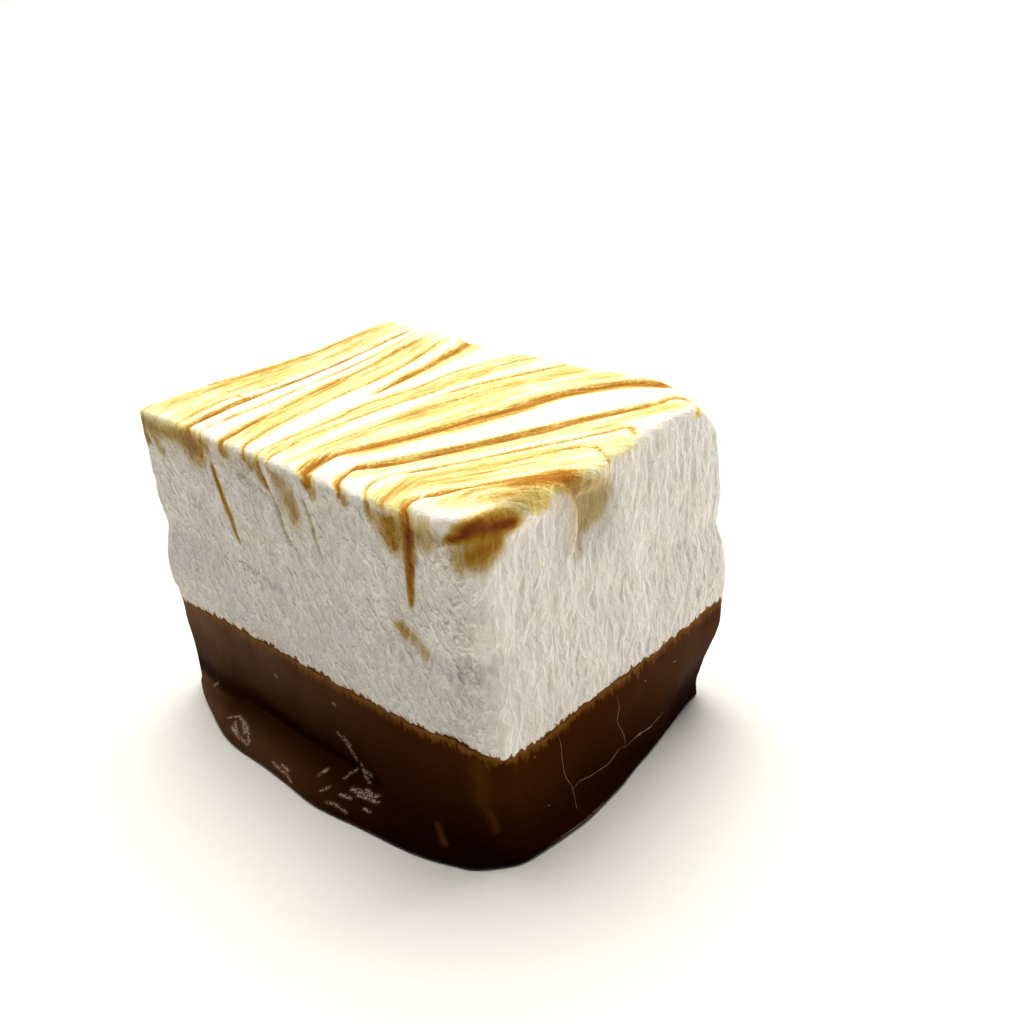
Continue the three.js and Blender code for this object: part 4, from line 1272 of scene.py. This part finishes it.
class SweetColours(bpy.types.PropertyGroup):
    """Colours of the sweet and of what it stands on"""
    marshmallow: colour_property("Marshmallow", "Plain marshmallow", (0.86, 0.82, 0.775))
    lemon: colour_property("Lemon tint", "The faintest wash of caramel", (0.87, 0.81, 0.42))
    pale_caramel: colour_property("Pale caramel", "Thin wash of caramel", (0.82, 0.67, 0.22))
    light_caramel: colour_property("Light caramel", "Thin caramel", (0.62, 0.37, 0.076))
    caramel: colour_property("Caramel", "Caramel as thick as it mostly is", (0.47, 0.215, 0.021))
    dark_caramel: colour_property("Dark caramel", "The top's thickest caramel", (0.34, 0.12, 0.006))
    # also paints shade in the pocket of the fold on -Y
    damp: colour_property("Damp patch", "Skin that has soaked up syrup", (0.58, 0.45, 0.23))
    stain: colour_property("Stain", "Syrup that has run down the sides", (0.42, 0.225, 0.020))
    amber: colour_property("Amber", "Syrup standing thickly on the sides", (0.31, 0.12, 0.003))
    burnt: colour_property("Burnt caramel", "Caramel where it has pooled at a corner",
                           (0.19, 0.036, 0.0005))
    chocolate: colour_property("Chocolate", "Dark chocolate", (0.043, 0.0110, 0.0010))
    # the colour it turns towards the bottom, and the painted shade in the crease over the foot
    low_down_and_crease_shade: colour_property("Deep chocolate", "Chocolate low down, where it is thickest",
                                    (0.010, 0.0016, 0.0002))
    # colour of a painted sheen that stands in for the chocolate's reflection
    chocolate_sheen: colour_property("Chocolate bloom", "Chocolate that has dulled",
                                     (0.150, 0.078, 0.038))
    # also the colour of the painted glints by the front corner
    fringe_and_glint: colour_property("Chocolate fringe", "The chocolate's thin top edge",
                                    (0.225, 0.088, 0.016))
    scuff: colour_property("Scuffs", "Hairline cracks and scuffs in the chocolate", (0.46, 0.33, 0.24))
    floor: colour_property("Floor", "The floor it stands on", (0.81, 0.79, 0.73))


# ---------------------------------------------------------------- the stage

FLOOR_REACH = 60.0
CAMERA_PLACE = (-0.06832, -0.08603, 0.07390)
CAMERA_TURN = 43.02         # degrees from looking along +Y towards +X
CAMERA_TILT = 25.70         # degrees below the horizon
CAMERA_ROLL = -5.655
CAMERA_LENS, SENSOR_WIDTH = 40.43, 36.0
NEAREST, FARTHEST = 0.005, 200.0
SKY_STOPS = ((0.05, (1.0, 1.0, 0.98)), (0.09, (0.052, 0.05, 0.048)))       # white at the horizon
WINDOW_ANGLE, REFLECTOR_SIZE = math.radians(56), 0.12
LIGHTS = (                  # name, kind, energy, the way it shines, colour, place, spread
    ("window", "SUN", 5.0, (-0.265, -0.26, -1.0), (1.0, 0.985, 0.96), (0, 0, 0), {"angle": WINDOW_ANGLE}),
    ("right_reflector", "AREA", 0.95, (-1.0, 0.33, -0.06), (1.0, 0.985, 0.98), (0.40, -0.155, 0.045),
     {"size": REFLECTOR_SIZE}),
    ("left_reflector", "AREA", 0.12, (0.33, -1.0, -0.06), (1.0, 0.985, 0.95), (-0.15, 0.40, 0.045),
     {"size": REFLECTOR_SIZE}),
)


def lay_floor(colour):
    reach = FLOOR_REACH
    mesh = bpy.data.meshes.new("floor")
    corners = [(-reach, -reach, 0), (reach, -reach, 0), (reach, reach, 0), (-reach, reach, 0)]
    mesh.from_pydata(corners, [], [(0, 1, 2, 3)])
    mesh.materials.append(floor_material(colour))
    floor = add_object("floor", mesh)


def light_the_room():
    n = Nodes(bpy.data.worlds.new("room"))
    bpy.context.scene.world = n.owner
    height = n.axes(n.add("TexCoord", {}, "Generated"))[2]
    n.feed(n.tree.nodes["Background"].inputs[0], n.ramp(height, SKY_STOPS))
    for name, kind, energy, direction, colour, place, spread in LIGHTS:
        data = bpy.data.lights.new(name, kind)
        data.energy = energy
        data.color = colour
        for key, value in spread.items():
            setattr(data, key, value)
        light = add_object(name, data)
        light.location = place
        light.rotation_euler = Vector(direction).to_track_quat("-Z", "Y").to_euler()


def aim_camera():
    turn, tilt, roll = (math.radians(angle) for angle in (CAMERA_TURN, CAMERA_TILT, CAMERA_ROLL))
    ahead = Vector((math.sin(turn) * math.cos(tilt), math.cos(turn) * math.cos(tilt), -math.sin(tilt)))
    level = Vector((math.cos(turn), -math.sin(turn), 0.0))
    above = level.cross(ahead)
    right = math.cos(roll) * level + math.sin(roll) * above
    up = -math.sin(roll) * level + math.cos(roll) * above
    data = bpy.data.cameras.new("view")
    data.lens, data.sensor_width = CAMERA_LENS, SENSOR_WIDTH
    data.clip_start, data.clip_end = NEAREST, FARTHEST
    camera = add_object("view", data)
    axes = Matrix((right, up, -ahead)).transposed().to_4x4()
    camera.matrix_world = Matrix.Translation(CAMERA_PLACE) @ axes
    bpy.context.scene.camera = camera


# ---------------------------------------------------------------- operators

SIDE_ROWS_SHARE = 0.43      # rows up the side, as a share of the cells across the short side


class SWEET_OT_add_stage(bpy.types.Operator):
    """Add the floor, the light and the camera"""
    bl_idname = "sweet.add_stage"
    bl_label = "Stage"

    def execute(self, context):
        lay_floor(tuple(context.scene.sweet_colours.floor))
        light_the_room()
        aim_camera()
        context.scene.view_settings.view_transform = "Standard"
        return {"FINISHED"}


class SWEET_OT_add_marshmallow(bpy.types.Operator):
    """Build the marbled marshmallow block"""
    bl_idname = "sweet.add_marshmallow"
    bl_label = "Marshmallow"

    def execute(self, context):
        sizes = context.scene.sweet_sizes
        cells_x = sizes.skin_cells
        cells_y = round(cells_x * sizes.length / sizes.width)
        mesh = build_marshmallow_mesh(Block(sizes), cells_x, cells_y, round(cells_x * SIDE_ROWS_SHARE))
        material = marshmallow_material(context.scene.sweet_colours)
        piece = add_piece("marshmallow_block", *mesh, material, "marshmallow")
        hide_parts("marshmallow")
        return {"FINISHED"}


class SWEET_OT_add_chocolate(bpy.types.Operator):
    """Build the chocolate that the foot is dipped in"""
    bl_idname = "sweet.add_chocolate"
    bl_label = "Chocolate dip"

    def execute(self, context):
        mesh = build_dip_mesh(Block(context.scene.sweet_sizes))
        material = chocolate_material(context.scene.sweet_colours)
        piece = add_piece("chocolate_coat", *mesh, material, "chocolate")
        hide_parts("chocolate_dip")
        return {"FINISHED"}


class SWEET_OT_add_cracks(bpy.types.Operator):
    """Lay hairline cracks on the chocolate"""
    bl_idname = "sweet.add_cracks"
    bl_label = "Cracks"

    def execute(self, context):
        coat = bpy.data.objects.get("chocolate_coat")
        if coat is None:
            raise RuntimeError("the chocolate has to be built first")
        material = crack_material(tuple(context.scene.sweet_colours.scuff))
        add_piece("cracks", *build_crack_mesh(coat), material, "chocolate")
        return {"FINISHED"}


class SWEET_PT_panel(bpy.types.Panel):
    """Lists the sweet's sizes, colours and pieces"""
    bl_idname = "SWEET_PT_panel"
    bl_label = "Marbled marshmallow"
    bl_space_type = "VIEW_3D"
    bl_region_type = "UI"
    bl_category = "Marshmallow"

    def draw(self, context):
        layout = self.layout
        for group in (context.scene.sweet_sizes, context.scene.sweet_colours):
            column = layout.column()
            for key in group.__annotations__:
                column.prop(group, key)
        for operator in OPERATORS:
            layout.operator(operator.bl_idname)


OPERATORS = (SWEET_OT_add_stage, SWEET_OT_add_marshmallow, SWEET_OT_add_chocolate, SWEET_OT_add_cracks)
CLASSES = (SweetSizes, SweetColours) + OPERATORS + (SWEET_PT_panel,)


def register():
    for part in CLASSES:
        bpy.utils.register_class(part)
    bpy.types.Scene.sweet_sizes = PointerProperty(type=SweetSizes)
    bpy.types.Scene.sweet_colours = PointerProperty(type=SweetColours)


def unregister():
    del bpy.types.Scene.sweet_colours
    del bpy.types.Scene.sweet_sizes
    for part in reversed(CLASSES):
        bpy.utils.unregister_class(part)


def main():
    register()
    bpy.ops.sweet.add_stage()
    bpy.ops.sweet.add_marshmallow()
    bpy.ops.sweet.add_chocolate()
    bpy.ops.sweet.add_cracks()


if __name__ == "__main__":
    main()
